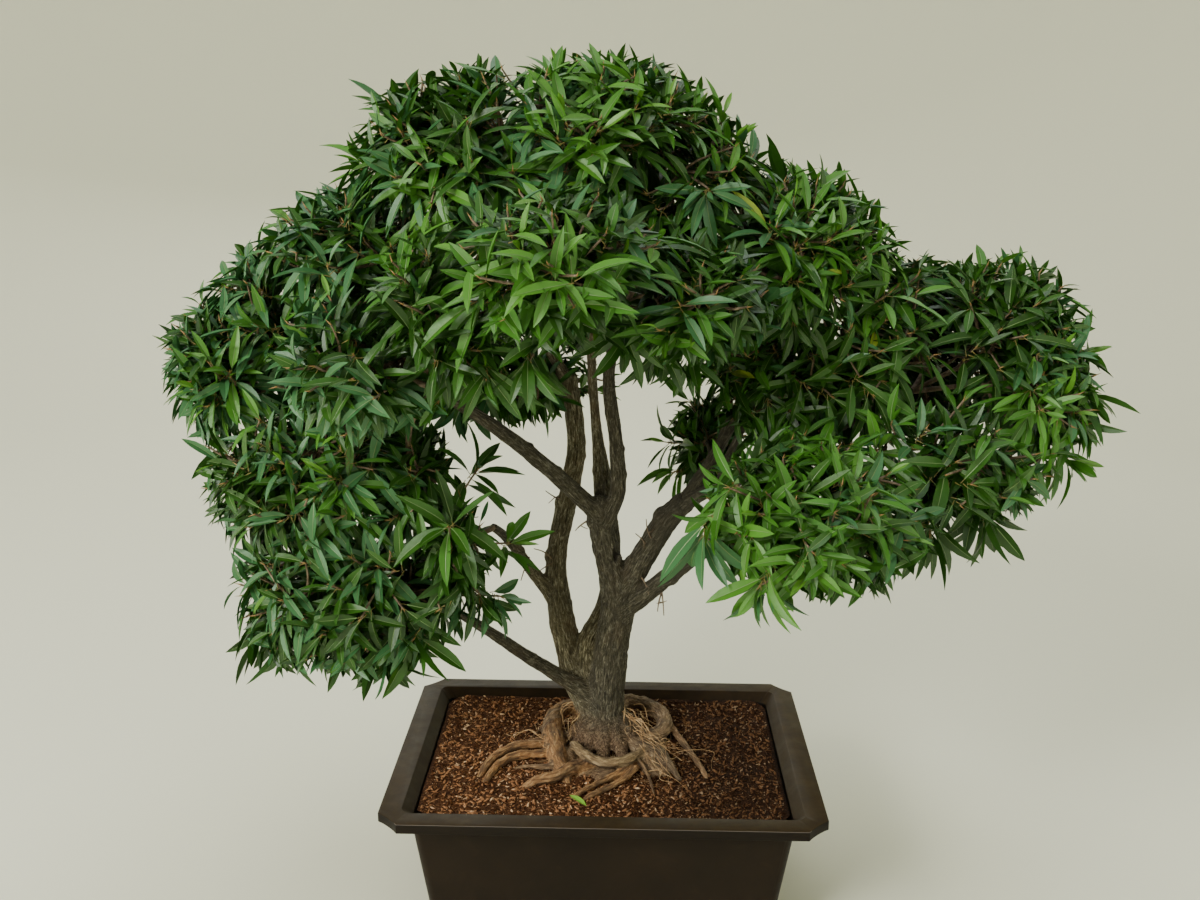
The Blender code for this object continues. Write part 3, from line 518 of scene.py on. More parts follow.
# %% Routes of trunk and boughs, as (x, y, z, radius) in metres
SOIL_TOP = 0.1495
LIMBS = {
    "trunk": (
        (-0.001, 0.040, 0.140, 0.0240),
        (-0.0015, 0.039, 0.168, 0.0218),
        (0.000, 0.038, 0.185, 0.0206),
        (0.003, 0.034, 0.240, 0.0203),
        (0.008, 0.030, 0.285, 0.0195),
        (0.012, 0.026, 0.322, 0.0195),
        (0.006, 0.023, 0.354, 0.0158),
        (-0.004, 0.020, 0.390, 0.0133),
        (-0.009, 0.020, 0.425, 0.0142),
        (-0.011, 0.020, 0.440, 0.0125),
    ),
    "left_stem": (
        (-0.010, 0.046, 0.172, 0.0180),
        (-0.034, 0.060, 0.214, 0.0168),
        (-0.048, 0.068, 0.264, 0.0156),
        (-0.058, 0.076, 0.325, 0.0133),
        (-0.057, 0.080, 0.365, 0.0120),
        (-0.041, 0.090, 0.446, 0.0113),
        (-0.037, 0.095, 0.487, 0.0108),
        (-0.046, 0.103, 0.560, 0.0096),
    ),
    "back_stem": (
        (-0.012, 0.048, 0.205, 0.0150),
        (-0.021, 0.057, 0.242, 0.0146),
        (-0.018, 0.060, 0.264, 0.0140),
        (-0.007, 0.066, 0.286, 0.0125),
        (0.003, 0.080, 0.315, 0.0118),
        (0.004, 0.100, 0.355, 0.0108),
        (-0.002, 0.130, 0.407, 0.0099),
        (-0.015, 0.172, 0.480, 0.0058),
        (-0.021, 0.200, 0.535, 0.0048),
    ),
    "centre_stem": (
        (-0.006, 0.026, 0.412, 0.0072),
        (-0.0108, 0.040, 0.458, 0.0060),
        (-0.0128, 0.048, 0.500, 0.0058),
        (-0.0190, 0.058, 0.573, 0.0053),
        (-0.024, 0.052, 0.690, 0.0045),
    ),
    "right_stem": (
        (-0.003, 0.016, 0.415, 0.0098),
        (0.0104, 0.013, 0.452, 0.0088),
        (0.0078, 0.008, 0.508, 0.0080),
        (0.000, -0.006, 0.583, 0.0067),
        (0.016, -0.030, 0.655, 0.0045),
    ),
    "left_bough": (
        (-0.010, 0.018, 0.424, 0.0112),
        (-0.029, 0.006, 0.446, 0.0097),
        (-0.070, -0.025, 0.493, 0.0086),
        (-0.119, -0.065, 0.543, 0.0068),
        (-0.167, -0.100, 0.583, 0.0050),
    ),
    "left_side_bough": (
        (-0.056, 0.076, 0.298, 0.0110),
        (-0.072, 0.070, 0.323, 0.0084),
        (-0.083, 0.063, 0.340, 0.0073),
        (-0.092, 0.052, 0.357, 0.0067),
        (-0.100, 0.040, 0.375, 0.0061),
        (-0.112, 0.015, 0.400, 0.0052),
        (-0.120, -0.015, 0.418, 0.0046),
    ),
    "low_left_bough": (
        (-0.006, 0.040, 0.196, 0.0115),
        (-0.040, 0.035, 0.219, 0.0092),
        (-0.062, 0.026, 0.238, 0.0081),
        (-0.085, 0.010, 0.260, 0.0074),
        (-0.121, -0.028, 0.304, 0.0061),
        (-0.158, -0.050, 0.338, 0.0046),
    ),
    "right_bough": (
        (0.010, 0.024, 0.326, 0.0155),
        (0.030, 0.022, 0.359, 0.0143),
        (0.046, 0.020, 0.389, 0.0138),
        (0.066, 0.020, 0.421, 0.0132),
        (0.083, 0.020, 0.440, 0.0116),
    ),
    "right_upper_arm": (
        (0.078, 0.020, 0.432, 0.0092),
        (0.096, 0.022, 0.460, 0.0082),
        (0.113, 0.028, 0.487, 0.0073),
        (0.141, 0.038, 0.549, 0.0060),
        (0.160, 0.045, 0.622, 0.0044),
    ),
    "right_lower_arm": (
        (0.078, 0.018, 0.433, 0.0088),
        (0.106, 0.006, 0.455, 0.0070),
        (0.137, 0.000, 0.468, 0.0061),
        (0.215, 0.000, 0.513, 0.0052),
        (0.270, 0.020, 0.537, 0.0048),
        (0.320, 0.032, 0.560, 0.0042),
    ),
    "right_thin_bough": (
        (0.104, 0.008, 0.453, 0.0050),
        (0.116, 0.012, 0.460, 0.0043),
        (0.123, 0.018, 0.480, 0.0042),
        (0.140, 0.018, 0.518, 0.0040),
        (0.158, 0.014, 0.552, 0.0035),
    ),
    "right_back_bough": (
        (0.103, 0.025, 0.472, 0.0052),
        (0.112, 0.050, 0.482, 0.0046),
        (0.110, 0.088, 0.488, 0.0038),
    ),
    "low_right_bough": (
        (0.014, 0.024, 0.312, 0.0115),
        (0.034, 0.018, 0.327, 0.0110),
        (0.085, -0.012, 0.382, 0.0094),
        (0.115, -0.040, 0.414, 0.0078),
        (0.150, -0.074, 0.441, 0.0050),
    ),
    "left_outer_bough": (
        (-0.158, -0.094, 0.576, 0.0054),
        (-0.205, -0.068, 0.572, 0.0048),
        (-0.275, -0.030, 0.560, 0.0040),
    ),
    "left_shoulder_bough": (
        (-0.045, 0.103, 0.548, 0.0078),
        (-0.085, 0.090, 0.610, 0.0056),
        (-0.165, 0.050, 0.662, 0.0042),
    ),
}
print("limbs:", len(LIMBS))

# %% Smooth curve through a route
def spline_value(before, start, end, after, share):
    """A value between start and end on the smooth curve through all four."""
    square = share * share
    cube = square * share
    return (
        (2 * cube - 3 * square + 1) * start
        + (cube - 2 * square + share) * (end - before) / 2
        + (3 * square - 2 * cube) * end
        + (cube - square) * (after - start) / 2
    )


def smooth_route(route, spacing):
    """Points and radii about a spacing apart along a route, as an array of four columns."""
    values = np.array(route, float)
    extended = np.concatenate([values[:1], values, values[-1:]])
    found = [values[0]]
    for index in range(len(values) - 1):
        length = np.linalg.norm(values[index + 1, :3] - values[index, :3])
        steps = max(2, round(length / spacing))
        for step in range(1, steps + 1):
            found.append(spline_value(*extended[index:index + 4], step / steps))
    return np.array(found)


LIMB_CURVES = {name: smooth_route(route, 0.004) for name, route in LIMBS.items()}
print("points along all limbs:", sum(len(curve) for curve in LIMB_CURVES.values()))

# %% [markdown]
# Real wood has no joints: bark runs over every fork in one skin.
# Tubes pushed into each other would show a seam. So each limb is a curve with a radius at each point,
# the curves become meshes, and a voxel remesh grows them into one skin that is then smoothed a little.

# %% Bark: limbs as curves, grown into one skin
BARK_VOXEL = 0.00172


def tube_object(name, curve):
    """A closed tube along an array of points and radii."""
    data = bpy.data.curves.new(name, "CURVE")
    data.dimensions = "3D"
    data.bevel_depth = 1.0
    data.bevel_resolution = 6
    data.use_fill_caps = True
    spline = data.splines.new("POLY")
    spline.points.add(len(curve) - 1)
    for point, (x, y, z, radius) in zip(spline.points, curve):
        point.co = (x, y, z, 1)
        point.radius = radius
    obj = bpy.data.objects.new(name, data)
    bpy.context.scene.collection.objects.link(obj)
    return obj


def grow_together(name, tubes, voxel, extra=()):
    """Turns tubes into meshes, joins them with any extra meshes and remeshes the whole into one skin."""
    deselect_all()
    for tube in tubes:
        tube.select_set(True)
    bpy.context.view_layer.objects.active = tubes[0]
    bpy.ops.object.convert(target="MESH")
    for obj in extra:
        obj.select_set(True)
    bpy.context.view_layer.objects.active = tubes[0]
    bpy.ops.object.join()
    skin = bpy.context.object
    skin.name = name
    apply_modifier(skin, "REMESH", mode="VOXEL", voxel_size=voxel)
    return skin


# Buttresses where the trunk spreads into its roots: direction in degrees, reach, width
BUTTRESSES = (
    (195, 0.044, 0.0105),
    (222, 0.046, 0.0090),
    (246, 0.054, 0.0085),
    (268, 0.060, 0.0092),
    (290, 0.064, 0.0090),
    (314, 0.062, 0.0095),
    (343, 0.056, 0.0100),
    (20, 0.044, 0.0105),
    (75, 0.038, 0.0105),
    (130, 0.044, 0.0115),
)


def buttress_curve(turn, reach, width):
    """A swelling that leaves the trunk and dips into the soil."""
    away = np.array([math.cos(math.radians(turn)), math.sin(math.radians(turn))])
    foot = np.array([0.0, 0.040])
    stops = ((0.008, 0.204, 0.66), (0.012, 0.184, 0.88), (0.62 * reach, 0.166, 0.95), (reach, 0.152, 0.75))
    route = [(*(foot + away * out), z, width * share) for out, z, share in stops]
    return smooth_route(route, 0.004)


tubes = [tube_object("limb_" + name, curve) for name, curve in LIMB_CURVES.items()]
tubes += [tube_object("buttress", buttress_curve(*entry)) for entry in BUTTRESSES]
print("tubes:", len(tubes))

# %% Bark: knobs where boughs fork or were cut off long ago
# Each knob: limb, share of the way along it, the way it faces, its size and how far it stands out
KNOBS = (
    ("trunk", 0.28, (-0.9, -0.4, 0.0), 0.016, 0.0020),
    ("trunk", 0.42, (-0.6, -0.8, 0.0), 0.012, 0.0016),
    ("trunk", 0.50, (-0.9, -0.5, 0.0), 0.012, 0.0020),
    ("trunk", 0.77, (0.75, -0.6, 0.0), 0.010, 0.0024),
    ("trunk", 0.80, (0.75, -0.6, 0.0), 0.009, 0.0022),
    ("trunk", 0.90, (-0.9, -0.4, 0.1), 0.010, 0.0024),
    ("trunk", 0.97, (0.2, -1.0, 0.2), 0.011, 0.0024),
    ("left_stem", 0.32, (0.5, -0.8, 0.0), 0.012, 0.0018),
    ("left_stem", 0.50, (-1.0, -0.2, 0.0), 0.010, 0.0030),
    ("left_stem", 0.64, (-1.0, -0.2, 0.1), 0.009, 0.0034),
    ("left_stem", 0.78, (0.9, -0.3, 0.0), 0.008, 0.0016),
    ("right_stem", 0.24, (1.0, -0.2, 0.0), 0.008, 0.0014),
    ("right_stem", 0.36, (0.9, -0.4, 0.0), 0.007, 0.0016),
    ("centre_stem", 0.20, (-1.0, -0.3, 0.0), 0.006, 0.0012),
    ("left_bough", 0.30, (0.3, -0.4, 0.9), 0.007, 0.0022),
    ("left_bough", 0.47, (0.3, -0.3, 0.9), 0.006, 0.0026),
    ("left_bough", 0.62, (0.2, -0.3, -0.9), 0.006, 0.0016),
    ("right_bough", 0.35, (-0.8, -0.4, 0.5), 0.011, 0.0024),
    ("right_bough", 0.80, (-0.8, -0.2, 0.6), 0.011, 0.0042),
    ("right_bough", 0.96, (0.3, -0.5, -0.8), 0.010, 0.0020),
    ("low_right_bough", 0.35, (0.2, -0.5, -0.9), 0.009, 0.0022),
    ("low_right_bough", 0.60, (0.3, -0.8, 0.6), 0.008, 0.0022),
    ("low_left_bough", 0.45, (0.2, -0.4, 0.9), 0.007, 0.0020),
    ("left_side_bough", 0.55, (-0.7, -0.4, -0.5), 0.008, 0.0018),
)
knobs = []
for limb, share, facing, size, proud in KNOBS:
    curve = LIMB_CURVES[limb]
    x, y, z, radius = curve[round(share * (len(curve) - 1))]
    place = Vector((x, y, z)) + Vector(facing).normalized() * (radius + proud - size)
    deselect_all()
    bpy.ops.mesh.primitive_ico_sphere_add(subdivisions=3, radius=size, location=place)
    bpy.ops.object.transform_apply(location=True, rotation=True, scale=True)
    knobs.append(bpy.context.object)
bark = grow_together("trunk_and_boughs", tubes, BARK_VOXEL, knobs)
apply_modifier(bark, "SMOOTH", factor=0.5, iterations=6)
print("bark skin vertices:", len(bark.data.vertices))

# %% [markdown]
# Fig bark is fairly smooth, with fine upright furrows, lumps, and rings that wrinkle round each bend.
# The relief has to run along every limb, whatever way it grows. So each vertex finds the nearest point
# of the nearest route, and its place is written as two distances across the limb and one along it.
# That place is kept as an attribute named grain, which the bark's colours read later.

# %% Bark: place of each vertex along its limb
def limb_frames(curves):
    """Centres, radii, two directions across and the length so far, for every point of every route."""
    rows = []
    for curve in curves:
        centres = curve[:, :3]
        ahead = np.gradient(centres, axis=0)
        ahead /= np.linalg.norm(ahead, axis=1)[:, None]
        side = np.cross(ahead[0], (0.0, 1.0, 0.0))
        run = 0.0
        for index, direction in enumerate(ahead):
            side = side - direction * side.dot(direction)
            side /= np.linalg.norm(side)
            if index:
                run += np.linalg.norm(centres[index] - centres[index - 1])
            rows.append((*centres[index], curve[index, 3], *side, *np.cross(direction, side), *direction, run))
    return np.array(rows)


def grain_places(points, rows, stretch):
    """For each point: its place along the grain, the limb's radius, and the number of the nearest row."""
    tree = KDTree(len(rows))
    for index, row in enumerate(rows):
        tree.insert(row[:3], index)
    tree.balance()
    nearest = np.empty(len(points), int)
    for index, point in enumerate(points):
        options = tree.find_n(point, 4)
        nearest[index] = min(options, key=lambda found: found[2] - rows[found[1], 3])[1]
    row = rows[nearest]
    offset = points - row[:, :3]
    across = (offset * row[:, 4:7]).sum(1)
    beside = (offset * row[:, 7:10]).sum(1)
    along = (offset * row[:, 10:13]).sum(1) + row[:, 13]
    return np.stack([across, beside, along * stretch], 1), row[:, 3], nearest


limb_rows = limb_frames(LIMB_CURVES.values())
bark_points = points_of(bark)
bark_grain, bark_radius, _ = grain_places(bark_points, limb_rows, 0.16)
print("grain reaches along", round(float(bark_grain[:, 2].max()), 3))

# %% Bark: furrows, lumps and rings pressed into the skin
FURROW_DEPTH = 0.0015
LUMP_HEIGHT = 0.0017
RING_DEPTH = 0.0007


def vertex_normals(obj):
    normals = np.empty(len(obj.data.vertices) * 3, np.float32)
    obj.data.vertex_normals.foreach_get("vector", normals)
    return normals.reshape(-1, 3).astype(float)


def fine_noise(points, scale):
    return np.array([noise.noise(point) for point in (points * scale).tolist()])


furrows = np.clip(1 - np.abs(fine_noise(bark_grain, 260.0)) * 2.6, 0, 1) ** 2
broad_lumps = fine_noise(bark_points, 42.0)
small_lumps = fine_noise(bark_points, 130.0)
rings = fine_noise(bark_grain * np.array([0.15, 0.15, 1.0]), 1150.0)
size_share = np.clip((bark_radius - 0.003) / 0.013, 0.12, 1.0)
foot_share = np.clip((0.192 - bark_points[:, 2]) / 0.020, 0, 1)
press = (
    -FURROW_DEPTH * furrows * (1 + 0.5 * foot_share)
    + LUMP_HEIGHT * (broad_lumps + (0.45 + 0.5 * foot_share) * small_lumps)
    + RING_DEPTH * rings * np.clip(0.4 + 2.0 * broad_lumps, 0, 1)
) * size_share
# An old pruning wound under the fork: place, half width, half height and depth
WOUND = ((0.0100, 0.011, 0.3815), 0.0042, 0.0098, 0.0042)
wound_place, wound_width, wound_height, wound_depth = WOUND
wound_spread = (bark_points - wound_place) / (wound_width, 0.012, wound_height)
wound_share = (wound_spread ** 2).sum(1)
wound = np.clip(1.4 * (1.15 - wound_share), 0, 1)
lip_of_wound = np.clip(1 - np.abs(wound_share - 1.9) / 1.0, 0, 1)
press += 0.4 * wound_depth * lip_of_wound - wound_depth * wound
move_points(bark, bark_points + vertex_normals(bark) * press[:, None])
grain = bark.data.attributes.new("grain", "FLOAT_VECTOR", "POINT")
grain.data.foreach_set("vector", bark_grain.astype(np.float32).ravel())
rot = bark.data.attributes.new("wound", "FLOAT", "POINT")
rot.data.foreach_set("value", wound.astype(np.float32))
take(bark)
bpy.ops.object.shade_smooth()
print("deepest furrow:", round(float(press.min()) * 1000, 2), "mm; points in the wound:", int((wound > 0.5).sum()))

# %% [markdown]
# The bark is an olive grey-brown, paler on the ridges, nearly black in the furrows, with a red-brown foot
# where the trunk turns into root.
# All of it comes from noise on the grain attribute, so the streaks run with the wood.

# %% Bark: colours
def make_bark():
    material, shader = new_material("bark", (0.09, 0.074, 0.044), 0.85)
    grain_place = add_node(material, "ShaderNodeAttribute", attribute_name="grain").outputs["Vector"]
    place = object_place(material)
    streaks = noise_value(material, grain_place, 620.0, 8.0, 0.74, 0.5)
    colour = ramp(
        material,
        streaks,
        (0.37, (0.006, 0.004, 0.002)),
        (0.465, (0.038, 0.032, 0.017)),
        (0.545, (0.092, 0.079, 0.047)),
        (0.66, (0.340, 0.308, 0.220)),
    )
    broad = noise_value(material, grain_place, 70.0, 4.0, 0.6)
    colour = mix_colours(material, map_range(material, broad, 0.34, 0.66, 0.60, 0.0), colour, (0.034, 0.026, 0.014))
    red = noise_value(material, place, 30.0, 4.0)
    colour = mix_colours(material, map_range(material, red, 0.54, 0.76, 0.0, 0.35), colour, (0.095, 0.058, 0.030))
    grey = noise_value(material, place, 95.0, 6.0, 0.78)
    colour = mix_colours(material, map_range(material, grey, 0.56, 0.70, 0.0, 0.60), colour, (0.270, 0.255, 0.185))
    axes = add_node(material, "ShaderNodeSeparateXYZ", {"Vector": place}).outputs
    # Painted shade: the wood right of the trunk, the right bough and its arms, is darkened
    colour = mix_colours(material, map_range(material, axes["X"], 0.025, 0.055, 0.0, 0.52), colour, (0.026, 0.022, 0.011))
    # Painted light: the stems at the back left are brightened, most low down and high up
    behind = map_range(material, axes["Y"], 0.022, 0.048)
    leftward = map_range(material, axes["X"], 0.004, -0.012)
    level = ramp(
        material,
        map_range(material, axes["Z"], 0.20, 0.60),
        (0.15, (0.90, 0.90, 0.90)),
        (0.27, (0.40, 0.40, 0.40)),
        (0.50, (0.45, 0.45, 0.45)),
        (0.62, (0.90, 0.90, 0.90)),
    )
    painted_light_back_left = add_node(material, "ShaderNodeMath", {0: behind, 1: leftward}, operation="MULTIPLY").outputs[0]
    painted_light_back_left = add_node(material, "ShaderNodeMath", {0: painted_light_back_left, 1: level}, operation="MULTIPLY").outputs[0]
    colour = mix_colours(material, painted_light_back_left, colour, (3.0, 2.95, 2.95), "MULTIPLY")
    foot = map_range(material, axes["Z"], 0.188, 0.166, 0.0, 0.85)
    foot_colour = ramp(
        material, streaks, (0.38, (0.040, 0.018, 0.008)), (0.50, (0.150, 0.082, 0.040)), (0.62, (0.420, 0.280, 0.160))
    )
    colour = mix_colours(material, foot, colour, foot_colour)
    wound_share = add_node(material, "ShaderNodeAttribute", attribute_name="wound").outputs["Fac"]
    colour = mix_colours(material, wound_share, colour, (0.016, 0.009, 0.006))
    connect(material, colour, shader, "Base Color")
    connect(material, map_range(material, streaks, 0.3, 0.7, 0.92, 0.70), shader, "Roughness")
    cracks = noise_value(material, grain_place, 620.0, 8.0, 0.74, 0.5)
    pores = noise_value(material, place, 1500.0, 2.0)
    normal = bump(material, cracks, 1.0, 0.0030)
    connect(material, bump(material, pores, 0.35, 0.0004, normal), shader, "Normal")
    return material


finish_piece(bark, make_bark(), list(LIMBS))

# %% [markdown]
# Fat surface roots loop round the foot of the trunk and run out over the soil. They are golden to
# orange-brown and knotty. They are made like the boughs, but from their own routes, with more lumps.

# %% Routes of the surface roots
SURFACE_ROOTS = {
    "root_left_loop": (
        (-0.022, 0.076, 0.168, 0.0085),
        (-0.048, 0.082, 0.166, 0.0088),
        (-0.060, 0.060, 0.163, 0.0100),
        (-0.061, 0.030, 0.160, 0.0110),
        (-0.056, 0.000, 0.157, 0.0112),
        (-0.050, -0.030, 0.153, 0.0094),
        (-0.043, -0.048, 0.150, 0.0070),
    ),
    "root_front_loop": (
        (-0.037, 0.004, 0.160, 0.0034),
        (-0.032, -0.012, 0.165, 0.0050),
        (-0.018, -0.034, 0.1655, 0.0056),
        (-0.003, -0.046, 0.165, 0.0058),
        (0.011, -0.046, 0.165, 0.0056),
        (0.026, -0.036, 0.164, 0.0052),
        (0.042, -0.014, 0.161, 0.0046),
    ),
    "root_right_ring": (
        (0.012, 0.078, 0.168, 0.0088),
        (0.022, 0.100, 0.167, 0.0076),
        (0.043, 0.096, 0.166, 0.0080),
        (0.061, 0.078, 0.165, 0.0084),
        (0.068, 0.052, 0.163, 0.0086),
        (0.059, 0.030, 0.161, 0.0080),
        (0.040, 0.024, 0.159, 0.0070),
    ),
    "root_right_knob": (
        (0.022, 0.016, 0.160, 0.0096),
        (0.040, -0.002, 0.158, 0.0100),
        (0.055, -0.016, 0.157, 0.0098),
        (0.066, -0.032, 0.157, 0.0066),
        (0.072, -0.040, 0.158, 0.0044),
    ),
    "root_front_left": (
        (-0.014, -0.024, 0.151, 0.0068),
        (-0.022, -0.032, 0.155, 0.0068),
        (-0.034, -0.042, 0.156, 0.0066),
        (-0.049, -0.057, 0.155, 0.0060),
        (-0.064, -0.064, 0.154, 0.0058),
        (-0.075, -0.067, 0.152, 0.0050),
    ),
    "root_left_upper": (
        (-0.058, 0.014, 0.156, 0.0062),
        (-0.080, 0.009, 0.157, 0.0052),
        (-0.100, 0.002, 0.157, 0.0050),
        (-0.120, -0.015, 0.154, 0.0048),
        (-0.131, -0.040, 0.151, 0.0042),
    ),
    "root_left_lower": (
        (-0.056, -0.006, 0.155, 0.0056),
        (-0.076, -0.011, 0.155, 0.0048),
        (-0.098, -0.016, 0.155, 0.0046),
        (-0.114, -0.030, 0.153, 0.0043),
        (-0.125, -0.056, 0.150, 0.0038),
    ),
    "root_front": (
        (0.030, -0.030, 0.157, 0.0052),
        (0.020, -0.046, 0.155, 0.0040),
        (0.004, -0.060, 0.154, 0.0034),
        (-0.013, -0.076, 0.153, 0.0032),
        (-0.029, -0.092, 0.151, 0.0026),
    ),
    "root_right_thin": (
        (0.066, 0.062, 0.157, 0.0042),
        (0.076, 0.052, 0.156, 0.0040),
        (0.090, 0.016, 0.154, 0.0037),
        (0.100, -0.013, 0.152, 0.0034),
        (0.108, -0.038, 0.150, 0.0028),
    ),
    "root_back": (
        (-0.006, 0.060, 0.160, 0.0080),
        (-0.016, 0.092, 0.155, 0.0064),
        (-0.040, 0.112, 0.149, 0.0040),
    ),
}
# Thinner roots that only the dressed plant has
SIDE_ROOTS = {
    "front_twin": (
        (0.034, -0.040, 0.156, 0.0040),
        (0.024, -0.056, 0.154, 0.0034),
        (0.012, -0.070, 0.153, 0.0032),
        (-0.004, -0.084, 0.152, 0.0030),
        (-0.016, -0.094, 0.151, 0.0024),
    ),
    "curl": (
        (0.028, -0.026, 0.160, 0.0024),
        (0.038, -0.032, 0.160, 0.0021),
        (0.046, -0.052, 0.156, 0.0018),
        (0.052, -0.078, 0.150, 0.0014),
    ),
    "left_short": (
        (-0.056, -0.036, 0.154, 0.0034),
        (-0.070, -0.038, 0.154, 0.0026),
        (-0.090, -0.033, 0.151, 0.0020),
    ),
    "left_strand": (
        (-0.044, 0.060, 0.176, 0.0020),
        (-0.062, 0.054, 0.172, 0.0018),
        (-0.076, 0.030, 0.162, 0.0015),
        (-0.092, 0.012, 0.154, 0.0011),
    ),
}
# How orange each root is: 0 is grey-brown, 1 is golden orange, and the pale loop is below 0
ROOT_TINTS = {
    "root_front_loop": -0.5,
    "root_left_loop": 0.72,
    "root_right_ring": 0.22,
    "root_right_knob": 0.15,
    "root_front_left": 0.75,
    "root_left_upper": 0.85,
    "root_left_lower": 1.0,
    "root_front": 0.9,
    "front_twin": 0.8,
    "root_right_thin": 0.45,
}
ROOT_GIRTH = 1.06
SINK = 0.010


def sunk_route(route):
    """A root's route, a little thicker, and carried on into the soil at its far end."""
    rows = [(x, y, z, radius * ROOT_GIRTH) for x, y, z, radius in route]
    last = np.array(rows[-1])
    ahead = last[:2] - np.array(rows[-2][:2])
    ahead = ahead / np.linalg.norm(ahead) * 0.016
    rows.append((last[0] + ahead[0], last[1] + ahead[1], last[2] - SINK, last[3] * 0.55))
    return rows


ALL_ROOTS = {**SURFACE_ROOTS, **SIDE_ROOTS}
ROOT_CURVES = {name: smooth_route(sunk_route(route), 0.003) for name, route in ALL_ROOTS.items()}
print("surface roots:", len(ROOT_CURVES))

# %% Surface roots: one knotty skin
ROOT_VOXEL = 0.0013
# Lumps of old root between the loops: place and three half sizes
ROOT_LUMPS = (
    ((-0.056, 0.028, 0.150), (0.015, 0.030, 0.010)),
    ((-0.046, -0.010, 0.150), (0.016, 0.022, 0.009)),
    ((0.054, -0.014, 0.154), (0.018, 0.020, 0.013)),
    ((0.056, -0.034, 0.151), (0.017, 0.014, 0.009)),
    ((0.036, -0.022, 0.150), (0.014, 0.014, 0.009)),
    ((0.058, 0.034, 0.151), (0.012, 0.016, 0.010)),
    ((-0.022, -0.030, 0.148), (0.020, 0.018, 0.008)),
    ((0.008, -0.044, 0.147), (0.024, 0.016, 0.008)),
)

root_tubes = [tube_object(name, curve) for name, curve in ROOT_CURVES.items()]
lumps = []
for place, halves in ROOT_LUMPS:
    deselect_all()
    bpy.ops.mesh.primitive_ico_sphere_add(subdivisions=3, radius=1, location=place, scale=halves)
    bpy.ops.object.transform_apply(location=True, rotation=True, scale=True)
    lumps.append(bpy.context.object)
roots = grow_together("surface_roots", root_tubes, ROOT_VOXEL, lumps)
apply_modifier(roots, "SMOOTH", factor=0.5, iterations=4)
root_points = points_of(roots)
root_grain, root_radius, root_rows = grain_places(root_points, limb_frames(ROOT_CURVES.values()), 0.25)
row_tints = np.concatenate([np.full(len(curve), ROOT_TINTS.get(name, 0.4)) for name, curve in ROOT_CURVES.items()])
root_lumps = fine_noise(root_points, 70.0) + 0.5 * fine_noise(root_points, 190.0)
root_furrows = np.clip(1 - np.abs(fine_noise(root_grain, 360.0)) * 2.5, 0, 1) ** 2
root_press = 0.0019 * root_lumps - 0.0010 * root_furrows
root_share = np.clip(root_radius / 0.008, 0.4, 1.0)
root_points = root_points + vertex_normals(roots) * (root_press * root_share)[:, None]
move_points(roots, root_points)
grain = roots.data.attributes.new("grain", "FLOAT_VECTOR", "POINT")
grain.data.foreach_set("vector", root_grain.astype(np.float32).ravel())
tint = roots.data.attributes.new("tint", "FLOAT", "POINT")
# Wood that lies far from a root's own line is a lump between roots, and takes a plain brown
on_root = np.linalg.norm(root_grain[:, :2], axis=1) < 1.35 * root_radius + 0.001
tint.data.foreach_set("value", np.where(on_root, row_tints[root_rows], 0.3).astype(np.float32))
take(roots)
bpy.ops.object.shade_smooth()
print("root skin vertices:", len(roots.data.vertices))

# %% Surface roots: golden brown
def make_root_bark():
    material, shader = new_material("root_bark", (0.24, 0.15, 0.08), 0.78)
    grain_place = add_node(material, "ShaderNodeAttribute", attribute_name="grain").outputs["Vector"]
    place = object_place(material)
    streaks = noise_value(material, grain_place, 420.0, 7.0, 0.76, 0.5)
    colour = ramp(
        material,
        streaks,
        (0.35, (0.050, 0.028, 0.014)),
        (0.46, (0.150, 0.096, 0.052)),
        (0.56, (0.270, 0.190, 0.112)),
        (0.68, (0.480, 0.380, 0.250)),
    )
    tint = add_node(material, "ShaderNodeAttribute", attribute_name="tint").outputs["Fac"]
    golden = ramp(
        material, streaks, (0.36, (0.110, 0.040, 0.012)), (0.50, (0.400, 0.190, 0.066)), (0.66, (0.700, 0.430, 0.190))
    )
    colour = mix_colours(material, map_range(material, tint, 0.1, 1.0), colour, golden)
    pale = ramp(
        material, streaks, (0.36, (0.095, 0.052, 0.022)), (0.50, (0.255, 0.168, 0.082)), (0.64, (0.520, 0.370, 0.205))
    )
    colour = mix_colours(material, map_range(material, tint, 0.0, -0.5), colour, pale)
    dark = noise_value(material, grain_place, 110.0, 5.0)
    colour = mix_colours(material, map_range(material, dark, 0.40, 0.54, 0.72, 0.0), colour, (0.045, 0.024, 0.012))
    connect(material, colour, shader, "Base Color")
    connect(material, map_range(material, streaks, 0.3, 0.7, 0.9, 0.65), shader, "Roughness")
    cracks = noise_value(material, grain_place, 420.0, 7.0, 0.76, 0.5)
    connect(material, bump(material, cracks, 1.0, 0.0024), shader, "Normal")
    return material


root_bark = make_root_bark()
finish_piece(roots, root_bark, list(SURFACE_ROOTS))

# %% [markdown]
# The soil is a red-brown mix of coir and chips. It is a block that fills the pot, with a lumpy top.
# Its top face is cut into a grid, and each point of the grid is lifted a little by noise.
# Thousands of loose chips and crumbs then lie on it, because bump alone would look like a carpet.

# %% Soil: a block with a lumpy top
SOIL_CUTS = 90
SOIL_CORNER = 0.016
SOIL_CLEAR = 0.0004


def wall_inset(z):
    """How far the pot's outer wall stands in from the lip at a height."""
    return BODY_FOOT_INSET + (BODY_TOP_INSET - BODY_FOOT_INSET) * z / POT_HEIGHT


def soil_half(z):
    inset = wall_inset(z) + POT_WALL + SOIL_CLEAR
    return POT_LENGTH / 2 - inset, POT_DEPTH / 2 - inset


